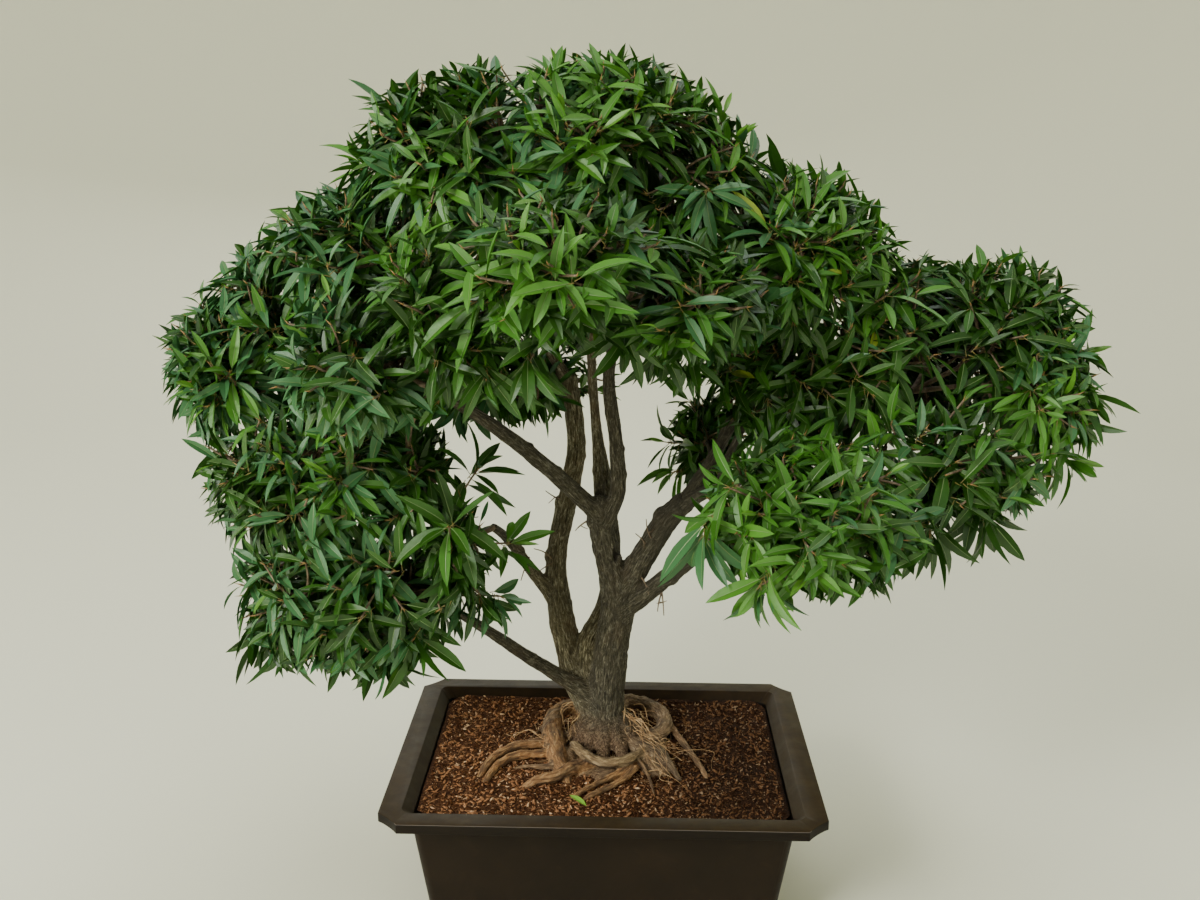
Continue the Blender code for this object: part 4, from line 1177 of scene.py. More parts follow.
deselect_all()
soil_floor = POT_FLOOR + SOIL_CLEAR
bpy.ops.mesh.primitive_cube_add(size=1, location=(0, 0, (soil_floor + SOIL_TOP) / 2))
soil = bpy.context.object
soil.name = "soil_bed"
soil.scale = (2 * soil_half(SOIL_TOP)[0], 2 * soil_half(SOIL_TOP)[1], SOIL_TOP - soil_floor)
bpy.ops.object.transform_apply(location=True, rotation=True, scale=True)
bpy.ops.object.mode_set(mode="EDIT")
pick(soil, "faces", lambda face: face.normal.z < -0.9)
narrowing = [foot / top for foot, top in zip(soil_half(soil_floor), soil_half(SOIL_TOP))]
bpy.ops.transform.resize(value=(*narrowing, 1), center_override=(0, 0, 0))
pick(soil, "faces", lambda face: face.normal.z > 0.9)
bpy.ops.mesh.subdivide(number_cuts=SOIL_CUTS)
bpy.ops.object.mode_set(mode="OBJECT")
print("soil faces:", len(soil.data.polygons))

# %% Soil: lumps, and corners that follow the pot
def soil_height(x, y):
    """Height of the lumpy top of the soil at a place."""
    broad = noise.noise(Vector((x * 14, y * 14, 3.1))) * 0.0022
    fine = noise.noise(Vector((x * 90, y * 90, 7.7))) * 0.0011
    crumbs = noise.noise(Vector((x * 260, y * 260, 1.3))) * 0.0007
    mound = 0.0035 * math.exp(-((x - 0.005) ** 2 + (y - 0.02) ** 2) / 0.0045)
    heaped = 0.0055 * min(1.0, max(0.0, (y - 0.085) / 0.045)) ** 2
    return SOIL_TOP - 0.0016 + broad + fine + crumbs + mound + heaped


soil_points = points_of(soil)
limits = np.array([soil_half(z) for z in soil_points[:, 2]])
beyond = np.abs(soil_points[:, 0]) + np.abs(soil_points[:, 1]) - (limits.sum(1) - SOIL_CORNER)
beyond = np.clip(beyond, 0, None) / 2
soil_points[:, 0] -= np.sign(soil_points[:, 0]) * beyond
soil_points[:, 1] -= np.sign(soil_points[:, 1]) * beyond
for point in soil_points:
    if point[2] > SOIL_TOP - 1e-4:
        point[2] = soil_height(point[0], point[1])
move_points(soil, soil_points)
take(soil)
bpy.ops.object.shade_smooth()
print("soil top between", round(float(soil_points[:, 2].max()), 4), "and the pot's floor")

# %% Soil: crumbly colour
def make_soil_material(name, dark, middle, light):
    material, shader = new_material(name, middle, 0.95)
    shader.inputs["Specular IOR Level"].default_value = 0.15
    place = object_place(material)
    crumbs = noise_value(material, place, 420.0, 6.0, 0.75)
    colour = ramp(material, crumbs, (0.34, dark), (0.52, middle), (0.70, light))
    patches = noise_value(material, place, 24.0, 3.0)
    colour = mix_colours(material, map_range(material, patches, 0.42, 0.68, 0.0, 0.4), colour, dark)
    # Painted light on the left and painted shade on the right: the colour is multiplied by 2.3 on the left, falling to
    # 0.85 on the right
    across = add_node(material, "ShaderNodeSeparateXYZ", {"Vector": place}).outputs["X"]
    colour = mix_colours(material, 1.0, colour, map_range(material, across, -0.02, 0.11, 2.3, 0.85), "MULTIPLY")
    connect(material, colour, shader, "Base Color")
    connect(material, bump(material, crumbs, 0.9, 0.0022), shader, "Normal")
    return material


soil_material = make_soil_material("soil", (0.004, 0.001, 0.0003), (0.042, 0.016, 0.006), (0.170, 0.082, 0.040))
finish_piece(soil, soil_material, ["soil"])

# %% [markdown]
# A chip is a flat, broken crumb. One is modelled from a small ball, flattened and knocked out of shape.
# Thousands of copies are placed by arrays of turns and places, and joined by shade into three pieces.

# %% One chip, and copies of it by arrays
def template_of(obj):
    """Points and corner numbers of a small model, which is then removed."""
    points = points_of(obj)
    quads = [tuple(face.vertices) for face in obj.data.polygons if len(face.vertices) == 4]
    triangles = [tuple(face.vertices) for face in obj.data.polygons if len(face.vertices) == 3]
    bpy.data.objects.remove(obj, do_unlink=True)
    return points, np.array(quads, int).reshape(-1, 4), np.array(triangles, int).reshape(-1, 3)


def copies(name, groups):
    """One joined mesh of copies. Each group is a template, its 3 by 3 turns and its places."""
    all_points, all_quads, all_triangles = [], [], []
    start = 0
    for (points, quads, triangles), turns, places in groups:
        turns = np.asarray(turns, float).reshape(-1, 3, 3)
        places = np.asarray(places, float).reshape(-1, 3)
        spread = np.einsum("nij,pj->npi", turns, points) + places[:, None, :]
        step = start + np.arange(len(places))[:, None, None] * len(points)
        all_points.append(spread.reshape(-1, 3))
        all_quads.append((quads[None] + step).reshape(-1, 4))
        all_triangles.append((triangles[None] + step).reshape(-1, 3))
        start += len(places) * len(points)
    return mesh_object(name, np.concatenate(all_points), np.concatenate(all_quads), np.concatenate(all_triangles))


def model_chip():
    deselect_all()
    bpy.ops.mesh.primitive_ico_sphere_add(subdivisions=1, radius=1.0)
    chip = bpy.context.object
    bpy.ops.object.mode_set(mode="EDIT")
    bpy.ops.mesh.select_all(action="SELECT")
    bpy.ops.transform.vertex_random(offset=0.35, seed=5)
    bpy.ops.transform.resize(value=(1.0, 0.34, 0.24))
    bpy.ops.object.mode_set(mode="OBJECT")
    return template_of(chip)


def random_turn(rng, tilting):
    """A turn about the upright axis with a little tilt."""
    turn = Matrix.Rotation(rng.uniform(0, math.tau), 3, "Z")
    tilt = Matrix.Rotation(rng.gauss(0, tilting), 3, "X") @ Matrix.Rotation(rng.gauss(0, tilting), 3, "Y")
    return turn @ tilt


chip_template = model_chip()
print("chip triangles:", len(chip_template[2]))

# %% Chips over the soil
# Name, count, smallest and largest half length, colours from dark to light
CHIP_KINDS = (
    ("chips_dark", 4200, 0.0013, 0.0048, (0.008, 0.002, 0.0005), (0.044, 0.016, 0.005), (0.115, 0.050, 0.022)),
    ("chips_red", 4300, 0.0013, 0.0048, (0.062, 0.022, 0.007), (0.200, 0.095, 0.042), (0.380, 0.205, 0.108)),
    ("chips_pale", 1300, 0.0011, 0.0038, (0.180, 0.100, 0.052), (0.380, 0.250, 0.148), (0.600, 0.450, 0.300)),
)
CHIP_TILT = 0.60


def soil_spot(rng, margin=0.004):
    """A random place on the soil, clear of the pot's corners."""
    half_x, half_y = soil_half(SOIL_TOP)
    while True:
        x = rng.uniform(-half_x + margin, half_x - margin)
        y = rng.uniform(-half_y + margin, half_y - margin)
        if abs(x) + abs(y) < half_x + half_y - SOIL_CORNER - margin:
            return x, y


for seed, (name, count, smallest, largest, dark, middle, light) in enumerate(CHIP_KINDS):
    rng = random.Random(100 + seed)
    turns = []
    places = []
    for _ in range(count):
        x, y = soil_spot(rng)
        size = smallest + (largest - smallest) * rng.random() ** 1.7
        turns.append(np.array(random_turn(rng, CHIP_TILT)) * size)
        places.append((x, y, soil_height(x, y) + size * rng.uniform(-0.1, 0.55)))
    chips = copies(name, [(chip_template, turns, places)])
    finish_piece(chips, make_soil_material("soil_" + name, dark, middle, light))

# %% [markdown]
# Thin threads of coir lie in the soil, and fine roots mat round the foot of the trunk.
# Each is a thin tube with three sides along a wandering path. They are written as arrays and joined.

# %% Thin tubes along many paths
def thin_tubes(name, paths, sides=3):
    """One joined mesh of open tubes, each along an array of points and radii."""
    points = []
    quads = []
    start = 0
    for path in paths:
        centres = path[:, :3]
        ahead = np.gradient(centres, axis=0)
        ahead /= np.linalg.norm(ahead, axis=1)[:, None] + 1e-12
        side = np.cross(ahead, (0.13, 0.21, 0.97))
        side /= np.linalg.norm(side, axis=1)[:, None] + 1e-12
        beside = np.cross(ahead, side)
        turns = np.arange(sides) * math.tau / sides
        ring = side[:, None] * np.cos(turns)[None, :, None] + beside[:, None] * np.sin(turns)[None, :, None]
        points.append((centres[:, None] + ring * path[:, 3][:, None, None]).reshape(-1, 3))
        levels = np.arange(len(path) - 1)[:, None] * sides
        steps = np.arange(sides)[None]
        here = start + levels + steps
        after = start + levels + (steps + 1) % sides
        quads.append(np.stack([here, after, after + sides, here + sides], -1).reshape(-1, 4))
        start += len(path) * sides
    return mesh_object(name, np.concatenate(points), np.concatenate(quads))


def wandering_path(start, heading, length, radius, rng, wander=0.5, steps=6, ground=None):
    """A path that turns a little at each step, and stays on the ground if one is given."""
    x, y, z = start
    turn = heading
    rows = [(x, y, z, radius)]
    for step in range(1, steps + 1):
        turn += rng.gauss(0, wander)
        x += math.cos(turn) * length / steps
        y += math.sin(turn) * length / steps
        if ground:
            z = ground(x, y) + radius * rng.uniform(0.2, 1.8)
        rows.append((x, y, z, radius * (1 - 0.7 * step / steps)))
    return np.array(rows)


print("thin tube helper ready")

# %% Threads of coir in the soil
def inside_soil(path, margin=0.003):
    half_x, half_y = soil_half(SOIL_TOP)
    x, y = np.abs(path[:, 0]), np.abs(path[:, 1])
    inside = (x < half_x - margin) & (y < half_y - margin) & (x + y < half_x + half_y - SOIL_CORNER - margin)
    return bool(inside.all())


def soil_threads(count, length, radius, seed):
    rng = random.Random(seed)
    paths = []
    while len(paths) < count:
        x, y = soil_spot(rng, 0.008)
        start = (x, y, soil_height(x, y) + radius)
        path = wandering_path(
            start, rng.uniform(0, math.tau), length * rng.uniform(0.4, 1.3), radius, rng, 0.45, 5, soil_height
        )
        if inside_soil(path):
            paths.append(path)
    return paths


threads = thin_tubes("coir_threads", soil_threads(520, 0.020, 0.00032, 21))
thread_material = make_soil_material("coir", (0.080, 0.036, 0.016), (0.200, 0.105, 0.052), (0.340, 0.210, 0.115))
finish_piece(threads, thread_material)

# %% Fine roots round the foot of the trunk
FOOT = Vector((0.004, 0.036))
# Bundles that fall from the trunk over the fat roots: start, end, scatter, count and thickest radius
BUNDLES = (
    ((0.014, 0.048, 0.186), (0.030, 0.006, 0.170), 0.006, 6, 0.0008),
    ((0.024, 0.034, 0.184), (0.052, -0.002, 0.168), 0.008, 9, 0.0007),
    ((0.034, 0.014, 0.172), (0.070, -0.036, 0.160), 0.010, 6, 0.0006),
    ((0.030, 0.012, 0.170), (0.050, -0.040, 0.160), 0.008, 2, 0.0006),
    ((-0.026, 0.056, 0.192), (-0.046, 0.050, 0.166), 0.008, 9, 0.0009),
    ((-0.030, 0.046, 0.178), (-0.040, 0.016, 0.160), 0.007, 6, 0.0007),
    ((0.030, 0.066, 0.172), (0.052, 0.052, 0.160), 0.010, 6, 0.0006),
    ((0.000, 0.070, 0.178), (-0.010, 0.105, 0.158), 0.018, 10, 0.0008),
    ((0.050, -0.040, 0.160), (0.072, -0.074, 0.151), 0.012, 5, 0.0006),
    ((0.064, 0.006, 0.160), (0.092, -0.030, 0.152), 0.014, 4, 0.0006),
    ((-0.060, 0.010, 0.158), (-0.100, 0.024, 0.152), 0.014, 8, 0.0006),
)


def fallen_root(start, end, scatter, radius, rng):
    """A fine root that hangs from the trunk, wriggles outwards and ends on the soil."""
    first = np.array(start) + [rng.gauss(0, scatter * 0.4) for _ in range(3)]
    last = np.array(end) + [rng.gauss(0, scatter), rng.gauss(0, scatter), 0]
    swing = np.array([rng.gauss(0, scatter * 0.5), rng.gauss(0, scatter * 0.5), 0.006])
    curl = np.array([rng.gauss(0, 0.0026) for _ in range(3)])
    turns = rng.uniform(1.5, 3.5)
    rows = []
    for share in np.linspace(0, 1, 12):
        spot = first + (last - first) * share + swing * math.sin(math.pi * share)
        spot = spot + curl * math.sin(turns * math.pi * share)
        ground = soil_height(spot[0], spot[1]) + radius * 0.6
        rows.append((spot[0], spot[1], max(spot[2], ground), radius * (1 - 0.6 * share)))
    return np.array(rows)


def fine_root_paths(seed):
    """Bundles off the trunk, and fine roots that wander out over the soil."""
    rng = random.Random(seed)
    paths = []
    for start, end, scatter, count, radius in BUNDLES:
        for _ in range(count):
            paths.append(fallen_root(start, end, scatter, radius * rng.uniform(0.35, 1.0), rng))
    while len(paths) < 180:
        turn = rng.uniform(0, math.tau)
        out = rng.uniform(0.030, 0.070)
        x = FOOT.x + math.cos(turn) * out
        y = FOOT.y + math.sin(turn) * out
        radius = rng.choice((0.00030, 0.00035, 0.00045, 0.0006, 0.0008))
        length = rng.uniform(0.018, 0.070)
        start = (x, y, soil_height(x, y) + 0.004)
        path = wandering_path(start, turn + rng.gauss(0, 0.9), length, radius, rng, 0.42, 7, soil_height)
        if inside_soil(path):
            paths.append(path)
    return paths


fine_roots = thin_tubes("fine_roots", fine_root_paths(31), sides=5)
take(fine_roots)
bpy.ops.object.shade_smooth()


def make_fine_root_material():
    material, shader = new_material("fine_root", (0.40, 0.25, 0.12), 0.7)
    place = object_place(material)
    spots = noise_value(material, place, 120.0, 4.0)
    colour = ramp(
        material, spots, (0.32, (0.190, 0.092, 0.036)), (0.50, (0.470, 0.280, 0.125)), (0.68, (0.720, 0.520, 0.290))
    )
    connect(material, colour, shader, "Base Color")
    connect(material, bump(material, noise_value(material, place, 900.0), 0.4, 0.0004), shader, "Normal")
    return material


finish_piece(fine_roots, make_fine_root_material())

# %% [markdown]
# A willow leaf fig leaf is a narrow blade about 45 mm long and 10 mm wide, with a pointed tip. It
# folds a little along its midrib and bows down under its own weight.
# It starts as a flat grid two faces wide. Each row across it is scaled to the blade's width there and
# moved down for the bow, the row of edges is lifted for the fold, and the midrib is split so that it
# shows as a crease.

# %% One leaf by hand
LEAF_ROWS = 6
# Half widths along the blade as shares of its greatest half width, from the stalk to the tip
LEAF_OUTLINE = (0.07, 0.52, 0.90, 1.00, 0.86, 0.50, 0.02)
LEAF_PLACES = (0.0, 0.13, 0.31, 0.50, 0.70, 0.86, 1.0)
LEAF_FOLD = 0.56


def model_leaf(bow, twist):
    """A blade of length 1 and width 1 along +Y, with its upper side to +Z, creased along the midrib."""
    along = lambda vertex: LEAF_PLACES[round(vertex.co.y * LEAF_ROWS)]
    deselect_all()
    bpy.ops.mesh.primitive_grid_add(x_subdivisions=2, y_subdivisions=LEAF_ROWS, size=1, location=(0, 0.5, 0))
    leaf = bpy.context.object
    bpy.ops.object.transform_apply(location=True, rotation=True, scale=True)
    bpy.ops.object.mode_set(mode="EDIT")
    for row, (share, place) in enumerate(zip(LEAF_OUTLINE, LEAF_PLACES)):
        level = row / LEAF_ROWS
        pick(leaf, "verts", lambda vertex, level=level: abs(vertex.co.y - level) < 1e-4 and vertex.co.z < 1e-4)
        bpy.ops.transform.resize(value=(share, 1, 1), center_override=(0, level, 0))
        drop = -bow * place * place
        bpy.ops.transform.translate(value=(twist * place * place, 0, drop - 10))
    pick(leaf, "edges", lambda edge: all(abs(vertex.co.x - twist * along(vertex) ** 2) < 1e-3 for vertex in edge.verts))
    bpy.ops.mesh.edge_split(type="EDGE")
    bpy.ops.object.mode_set(mode="OBJECT")
    points = points_of(leaf)
    for row, place in enumerate(LEAF_PLACES):
        chosen = np.abs(points[:, 1] - row / LEAF_ROWS) < 1e-4
        points[chosen, 1] = place
    points[:, 2] += 10
    middle = twist * points[:, 1] ** 2
    points[:, 2] += LEAF_FOLD * 0.2 * np.abs(points[:, 0] - middle)
    move_points(leaf, points)
    return template_of(leaf)


LEAF_MODELS = [model_leaf(bow, twist) for bow, twist in ((0.08, 0.15), (0.20, 0.55), (0.34, -0.45), (0.05, -0.7))]
print("leaf models:", len(LEAF_MODELS), "triangles each:", 2 * len(LEAF_MODELS[0][1]))

# %% Midrib and stalk of a leaf
def rib_template(leaf):
    """A narrow strip that lies on the midrib of a leaf model."""
    points, _, _ = leaf
    rows = []
    for place in LEAF_PLACES[:-1]:
        chosen = points[np.abs(points[:, 1] - place) < 1e-4]
        middle = chosen[np.argsort(chosen[:, 0])][1]
        half = 0.038 * (1 - 0.75 * place)
        rows.append(middle + np.array([-half, 0, 0.010]))
        rows.append(middle + np.array([half, 0, 0.010]))
    quads = [(2 * row, 2 * row + 1, 2 * row + 3, 2 * row + 2) for row in range(len(LEAF_PLACES) - 2)]
    return np.array(rows), np.array(quads), np.empty((0, 3), int)


def stalk_template():
    """A three-sided stalk of length 1 that ends where the blade starts."""
    rows = []
    for y, size in ((-1.0, 1.0), (0.15, 0.55)):
        for turn in (90, 210, 330):
            angle = math.radians(turn)
            rows.append((size * math.cos(angle), y, size * math.sin(angle)))
    quads = [(step, (step + 1) % 3, (step + 1) % 3 + 3, step + 3) for step in range(3)]
    return np.array(rows), np.array(quads), np.empty((0, 3), int)


RIB_MODELS = [rib_template(leaf) for leaf in LEAF_MODELS]
STALK_MODEL = stalk_template()
print("rib triangles:", 2 * len(RIB_MODELS[0][1]))

# %% [markdown]
# The foliage grows by the same rule as the solids. Every mass is an ellipsoid, and a stem enters it from
# the tip of its bough. The stem forks into branchlets, and the branchlets into shoots, spread evenly
# over the mass by the golden angle. Each shoot carries a whorl of leaves, which droop.
# Balls side by side would leave grooves, so near masses melt together, and no shoot grows inside another.

# %% Masses of foliage: centre, half sizes, and the limb whose tip carries it
MASSES = {
    "foliage_apex": ((-0.025, 0.000, 0.824), (0.146, 0.135, 0.080), "centre_stem"),
    "foliage_upper_left": ((-0.137, -0.020, 0.794), (0.118, 0.125, 0.096), "centre_stem"),
    "foliage_upper_right": ((0.076, 0.020, 0.763), (0.088, 0.120, 0.102), "right_stem"),
    "foliage_front": ((-0.045, -0.190, 0.710), (0.108, 0.125, 0.078), "right_stem"),
    "foliage_front_left": ((-0.150, -0.160, 0.660), (0.075, 0.100, 0.085), "left_bough"),
    "foliage_front_right": ((0.078, -0.140, 0.678), (0.083, 0.115, 0.060), "right_stem"),
    "foliage_under_centre": ((-0.092, 0.120, 0.545), (0.105, 0.075, 0.048), "left_stem"),
    "foliage_left_shoulder": ((-0.248, 0.000, 0.702), (0.106, 0.125, 0.078), "left_shoulder_bough"),
    "foliage_left_crown": ((-0.338, 0.020, 0.628), (0.084, 0.120, 0.096), "left_outer_bough"),
    "foliage_left_tip": ((-0.380, -0.020, 0.590), (0.076, 0.110, 0.084), "left_outer_bough"),
    "foliage_left_front": ((-0.225, -0.150, 0.615), (0.085, 0.105, 0.075), "left_bough"),
    "foliage_left_lower": ((-0.303, -0.050, 0.486), (0.110, 0.115, 0.100), "left_outer_bough"),
    "foliage_left_inner_upper": ((-0.203, -0.036, 0.472), (0.055, 0.090, 0.070), "left_bough"),
    "foliage_left_inner": ((-0.150, -0.085, 0.412), (0.040, 0.078, 0.076), "left_side_bough"),
    "foliage_left_bottom": ((-0.259, -0.060, 0.367), (0.134, 0.110, 0.093), "low_left_bough"),
    "foliage_right_shoulder": ((0.186, 0.000, 0.702), (0.100, 0.120, 0.100), "right_upper_arm"),
    "foliage_right_mid": ((0.235, 0.020, 0.600), (0.145, 0.120, 0.130), "right_thin_bough"),
    "foliage_far_right": ((0.398, 0.020, 0.608), (0.099, 0.110, 0.105), "right_lower_arm"),
    "foliage_right_tip": ((0.424, -0.020, 0.572), (0.068, 0.105, 0.086), "right_lower_arm"),
    "foliage_right_lower": ((0.333, -0.060, 0.513), (0.116, 0.110, 0.072), "low_right_bough"),
    "foliage_right_front": ((0.195, -0.140, 0.478), (0.118, 0.120, 0.080), "low_right_bough"),
    "foliage_right_hanging": ((0.156, -0.190, 0.442), (0.042, 0.055, 0.038), "low_right_bough"),
    "foliage_right_small": ((0.114, 0.130, 0.478), (0.050, 0.075, 0.062), "right_back_bough"),
    "foliage_back_top": ((-0.030, 0.155, 0.742), (0.180, 0.128, 0.128), "centre_stem"),
    "foliage_back_left": ((-0.230, 0.160, 0.650), (0.150, 0.120, 0.130), "left_shoulder_bough"),
    "foliage_back_right": ((0.172, 0.170, 0.668), (0.130, 0.120, 0.130), "right_upper_arm"),
    "foliage_back_far_right": ((0.345, 0.140, 0.585), (0.130, 0.100, 0.110), "right_lower_arm"),
    "foliage_back_low": ((-0.020, 0.270, 0.640), (0.160, 0.100, 0.088), "back_stem"),
    "foliage_back_left_low": ((-0.300, 0.110, 0.500), (0.110, 0.090, 0.100), "left_outer_bough"),
}
print("masses:", len(MASSES))

# %% Hollows, sunlit places and free sprays
# Hollows between the sprays, and clear views of the bare stems and boughs: place and radius
HOLLOWS = np.array((
    (0.030, -0.109, 0.786, 0.022),
    (-0.037, -0.240, 0.780, 0.024),
    (-0.084, -0.214, 0.781, 0.024),
    (0.000, -0.223, 0.777, 0.024),
    (0.065, -0.097, 0.797, 0.020),
    (0.050, -0.248, 0.682, 0.024),
    (0.098, -0.240, 0.704, 0.020),
    (0.141, -0.209, 0.692, 0.020),
    (0.093, -0.251, 0.674, 0.022),
    (0.214, -0.104, 0.661, 0.018),
    (0.255, -0.086, 0.661, 0.018),
    (0.230, -0.099, 0.592, 0.026),
    (0.202, -0.095, 0.624, 0.020),
    (0.187, -0.091, 0.577, 0.026),
    (-0.179, -0.233, 0.598, 0.028),
    (-0.169, -0.254, 0.642, 0.026),
    (-0.232, -0.224, 0.668, 0.030),
    (-0.184, -0.140, 0.409, 0.032),
    (-0.202, -0.156, 0.384, 0.030),
    (0.322, -0.168, 0.516, 0.028),
    (0.129, -0.150, 0.559, 0.030),
    (-0.037, -0.260, 0.640, 0.026),
    (-0.297, -0.164, 0.477, 0.030),
    (-0.020, -0.020, 0.545, 0.050),
    (-0.030, -0.200, 0.619, 0.028),
    (-0.001, -0.200, 0.620, 0.028),
    (-0.014, -0.220, 0.642, 0.024),
    (-0.016, -0.120, 0.583, 0.040),
    (0.060, 0.000, 0.580, 0.032),
    (-0.050, 0.030, 0.560, 0.045),
    (0.010, -0.040, 0.575, 0.034),
    (-0.120, -0.085, 0.545, 0.030),
    (0.066, -0.030, 0.425, 0.040),
    (0.088, -0.035, 0.462, 0.034),
))
# Places where painted light makes the shoots brighter
LIGHT_PLACES = np.array((
    (0.188, -0.075, 0.780),
    (0.232, -0.095, 0.741),
    (0.116, -0.227, 0.473),
    (0.154, -0.240, 0.437),
    (-0.369, -0.123, 0.569),
    (-0.336, -0.116, 0.555),
    (-0.338, -0.159, 0.484),
    (-0.250, -0.244, 0.593),
    (-0.361, -0.117, 0.619),
    (-0.155, -0.250, 0.697),
    (-0.134, -0.255, 0.728),
    (-0.053, -0.299, 0.745),
    (-0.006, -0.298, 0.735),
    (-0.049, -0.109, 0.868),
    (0.025, -0.109, 0.862),
    (-0.181, -0.113, 0.840),
    (0.369, -0.043, 0.688),
    (0.403, -0.054, 0.685),
    (-0.329, -0.140, 0.425),
    (-0.315, -0.162, 0.363),
))
LIGHT_REACH = 0.042
# How far painted light lifts the tone of a shoot in a light place, and painted shade lowers it in a hollow, below and
# further in
LIGHT_LIFT = 0.34
HOLLOW_DROP = 0.36
UNDERSIDE_DROP = 0.14
LAYER_DROP = 0.24
# Sprays that stand or hang clear of the masses: the end of the twig and the way it points
SPRAYS = (
    ((-0.214, -0.020, 0.838), (-0.9, -0.2, 0.2)),
    ((-0.200, -0.040, 0.838), (-0.5, -0.3, 0.8)),
    ((-0.238, -0.020, 0.785), (-0.8, -0.2, 0.3)),
    ((-0.387, -0.040, 0.527), (-0.7, -0.3, -0.5)),
    ((-0.384, -0.040, 0.505), (-0.6, -0.3, -0.6)),
    ((-0.354, -0.080, 0.330), (-0.3, -0.3, -0.9)),
    ((-0.352, -0.070, 0.312), (-0.1, -0.3, -0.9)),
    ((0.138, -0.225, 0.436), (-0.5, -0.3, -0.8)),
    ((0.144, -0.205, 0.428), (0.1, -0.3, -0.9)),
    ((0.046, -0.020, 0.610), (0.4, -0.3, -0.8)),
    ((0.229, -0.030, 0.643), (0.1, -0.8, 0.4)),
    ((0.238, 0.030, 0.615), (-0.1, -0.8, 0.2)),
    ((0.099, -0.020, 0.727), (0.0, -0.8, 0.4)),
    ((0.098, 0.030, 0.709), (0.1, -0.8, 0.2)),
    ((0.236, -0.060, 0.522), (0.0, -0.8, 0.3)),
    ((0.257, -0.105, 0.529), (-0.1, -0.8, 0.3)),
    ((0.274, -0.110, 0.516), (0.1, -0.8, -0.1)),
    ((0.088, -0.200, 0.470), (-0.2, -0.4, -0.9)),
    ((0.110, -0.195, 0.516), (-0.6, -0.5, 0.1)),
    ((0.098, -0.190, 0.488), (-0.6, -0.3, -0.5)),
    ((0.233, -0.170, 0.440), (0.1, -0.3, -0.9)),
    ((0.271, -0.150, 0.464), (0.0, -0.4, -0.9)),
    ((0.307, -0.130, 0.455), (0.0, -0.4, -0.9)),
    ((0.367, -0.100, 0.460), (0.1, -0.3, -0.9)),
    ((0.456, -0.060, 0.510), (0.8, -0.3, -0.5)),
    ((0.464, -0.060, 0.546), (0.6, -0.3, -0.7)),
    ((0.474, -0.040, 0.572), (0.7, -0.3, -0.4)),
    ((0.470, -0.020, 0.609), (0.8, -0.3, 0.2)),
    ((-0.131, -0.050, 0.490), (0.5, -0.3, 0.5)),
    ((-0.100, -0.060, 0.416), (0.3, -0.4, 0.4)),
    ((-0.150, -0.130, 0.455), (-0.1, -0.8, 0.2)),
    ((-0.147, -0.120, 0.428), (0.2, -0.7, -0.5)),
    ((-0.124, -0.090, 0.364), (0.5, -0.3, -0.7)),
    ((-0.107, -0.080, 0.366), (0.8, -0.3, -0.2)),
    ((-0.189, -0.100, 0.326), (0.4, -0.3, -0.8)),
    ((-0.225, -0.090, 0.304), (0.1, -0.4, -0.8)),
    ((-0.267, -0.080, 0.300), (0.0, -0.4, -0.8)),
    ((-0.330, -0.080, 0.312), (0.0, -0.4, -0.9)),
    ((0.074, 0.100, 0.450), (-0.8, -0.2, -0.3)),
    ((0.066, 0.100, 0.484), (-0.9, -0.2, 0.1)),
    ((0.090, 0.110, 0.528), (-0.7, -0.3, 0.3)),
    ((0.076, -0.100, 0.614), (0.1, -0.4, -0.9)),
    ((0.049, -0.120, 0.626), (-0.2, -0.4, -0.8)),
    ((0.016, -0.140, 0.640), (0.0, -0.5, -0.7)),
    ((-0.070, -0.190, 0.622), (-0.1, -0.5, -0.8)),
    ((-0.105, -0.190, 0.612), (0.0, -0.5, -0.8)),
    ((-0.110, -0.020, 0.580), (-0.2, -0.4, -0.8)),
    ((-0.078, -0.010, 0.590), (0.2, -0.4, -0.8)),
    ((-0.139, -0.040, 0.572), (-0.4, -0.4, -0.6)),
    ((-0.162, 0.080, 0.534), (-0.2, -0.4, -0.8)),
    ((-0.134, 0.100, 0.537), (0.1, -0.4, -0.8)),
    ((-0.088, 0.120, 0.536), (0.1, -0.4, -0.8)),
)
print("hollows:", len(HOLLOWS), "free sprays:", len(SPRAYS))

# %% The crown as one soft shape
GOLDEN_ANGLE = math.pi * (3 - math.sqrt(5))
CENTRES = np.array([centre for centre, _, _ in MASSES.values()])
HALVES = np.array([half for _, half, _ in MASSES.values()])
# How sharply one mass gives way to the next: a small value melts them together
MELTING = 22.0


def mass_shares(points):
    """For each point and mass, how far out the point lies: 1 on the mass's ellipsoid."""
    return np.linalg.norm((np.asarray(points)[..., None, :] - CENTRES) / HALVES, axis=-1)


def crown_field(points):
    """Above 1 inside the crown and below 1 outside it. Near masses swell into one another."""
    return np.exp(-MELTING * (mass_shares(points) - 1)).sum(-1)


def crown_reach(index, direction):
    """How far the crown runs from a mass's centre in a direction, or None if another mass is there."""
    whole = 1 / np.linalg.norm(direction / HALVES[index])
    distances = np.arange(0.7 * whole, 1.4 * whole, 0.003)
    spots = CENTRES[index] + distances[:, None] * direction
    outside = np.flatnonzero(crown_field(spots) < 1)
    if not len(outside):
        return None
    shares = mass_shares(spots[outside[0]])
    return distances[outside[0]] if shares[index] < shares.min() + 0.04 else None


def even_directions(count, rng):
    """Directions spread evenly over a ball by the golden angle, from a seeded turn."""
    turn = rng.uniform(0, math.tau)
    for step in range(count):
        height = 1 - (2 * step + 1) / count
        ring = math.sqrt(1 - height * height)
        angle = turn + GOLDEN_ANGLE * step
        yield Vector((ring * math.cos(angle), ring * math.sin(angle), height))


def surface_of(half):
    """The surface of an ellipsoid, by the usual approximation from its three half sizes."""
    a, b, c = (size ** 1.6 for size in half)
    return 4 * math.pi * ((a * b + a * c + b * c) / 3) ** (1 / 1.6)


print("surface of all masses:", round(sum(surface_of(half) for _, half, _ in MASSES.values()), 2), "m2")
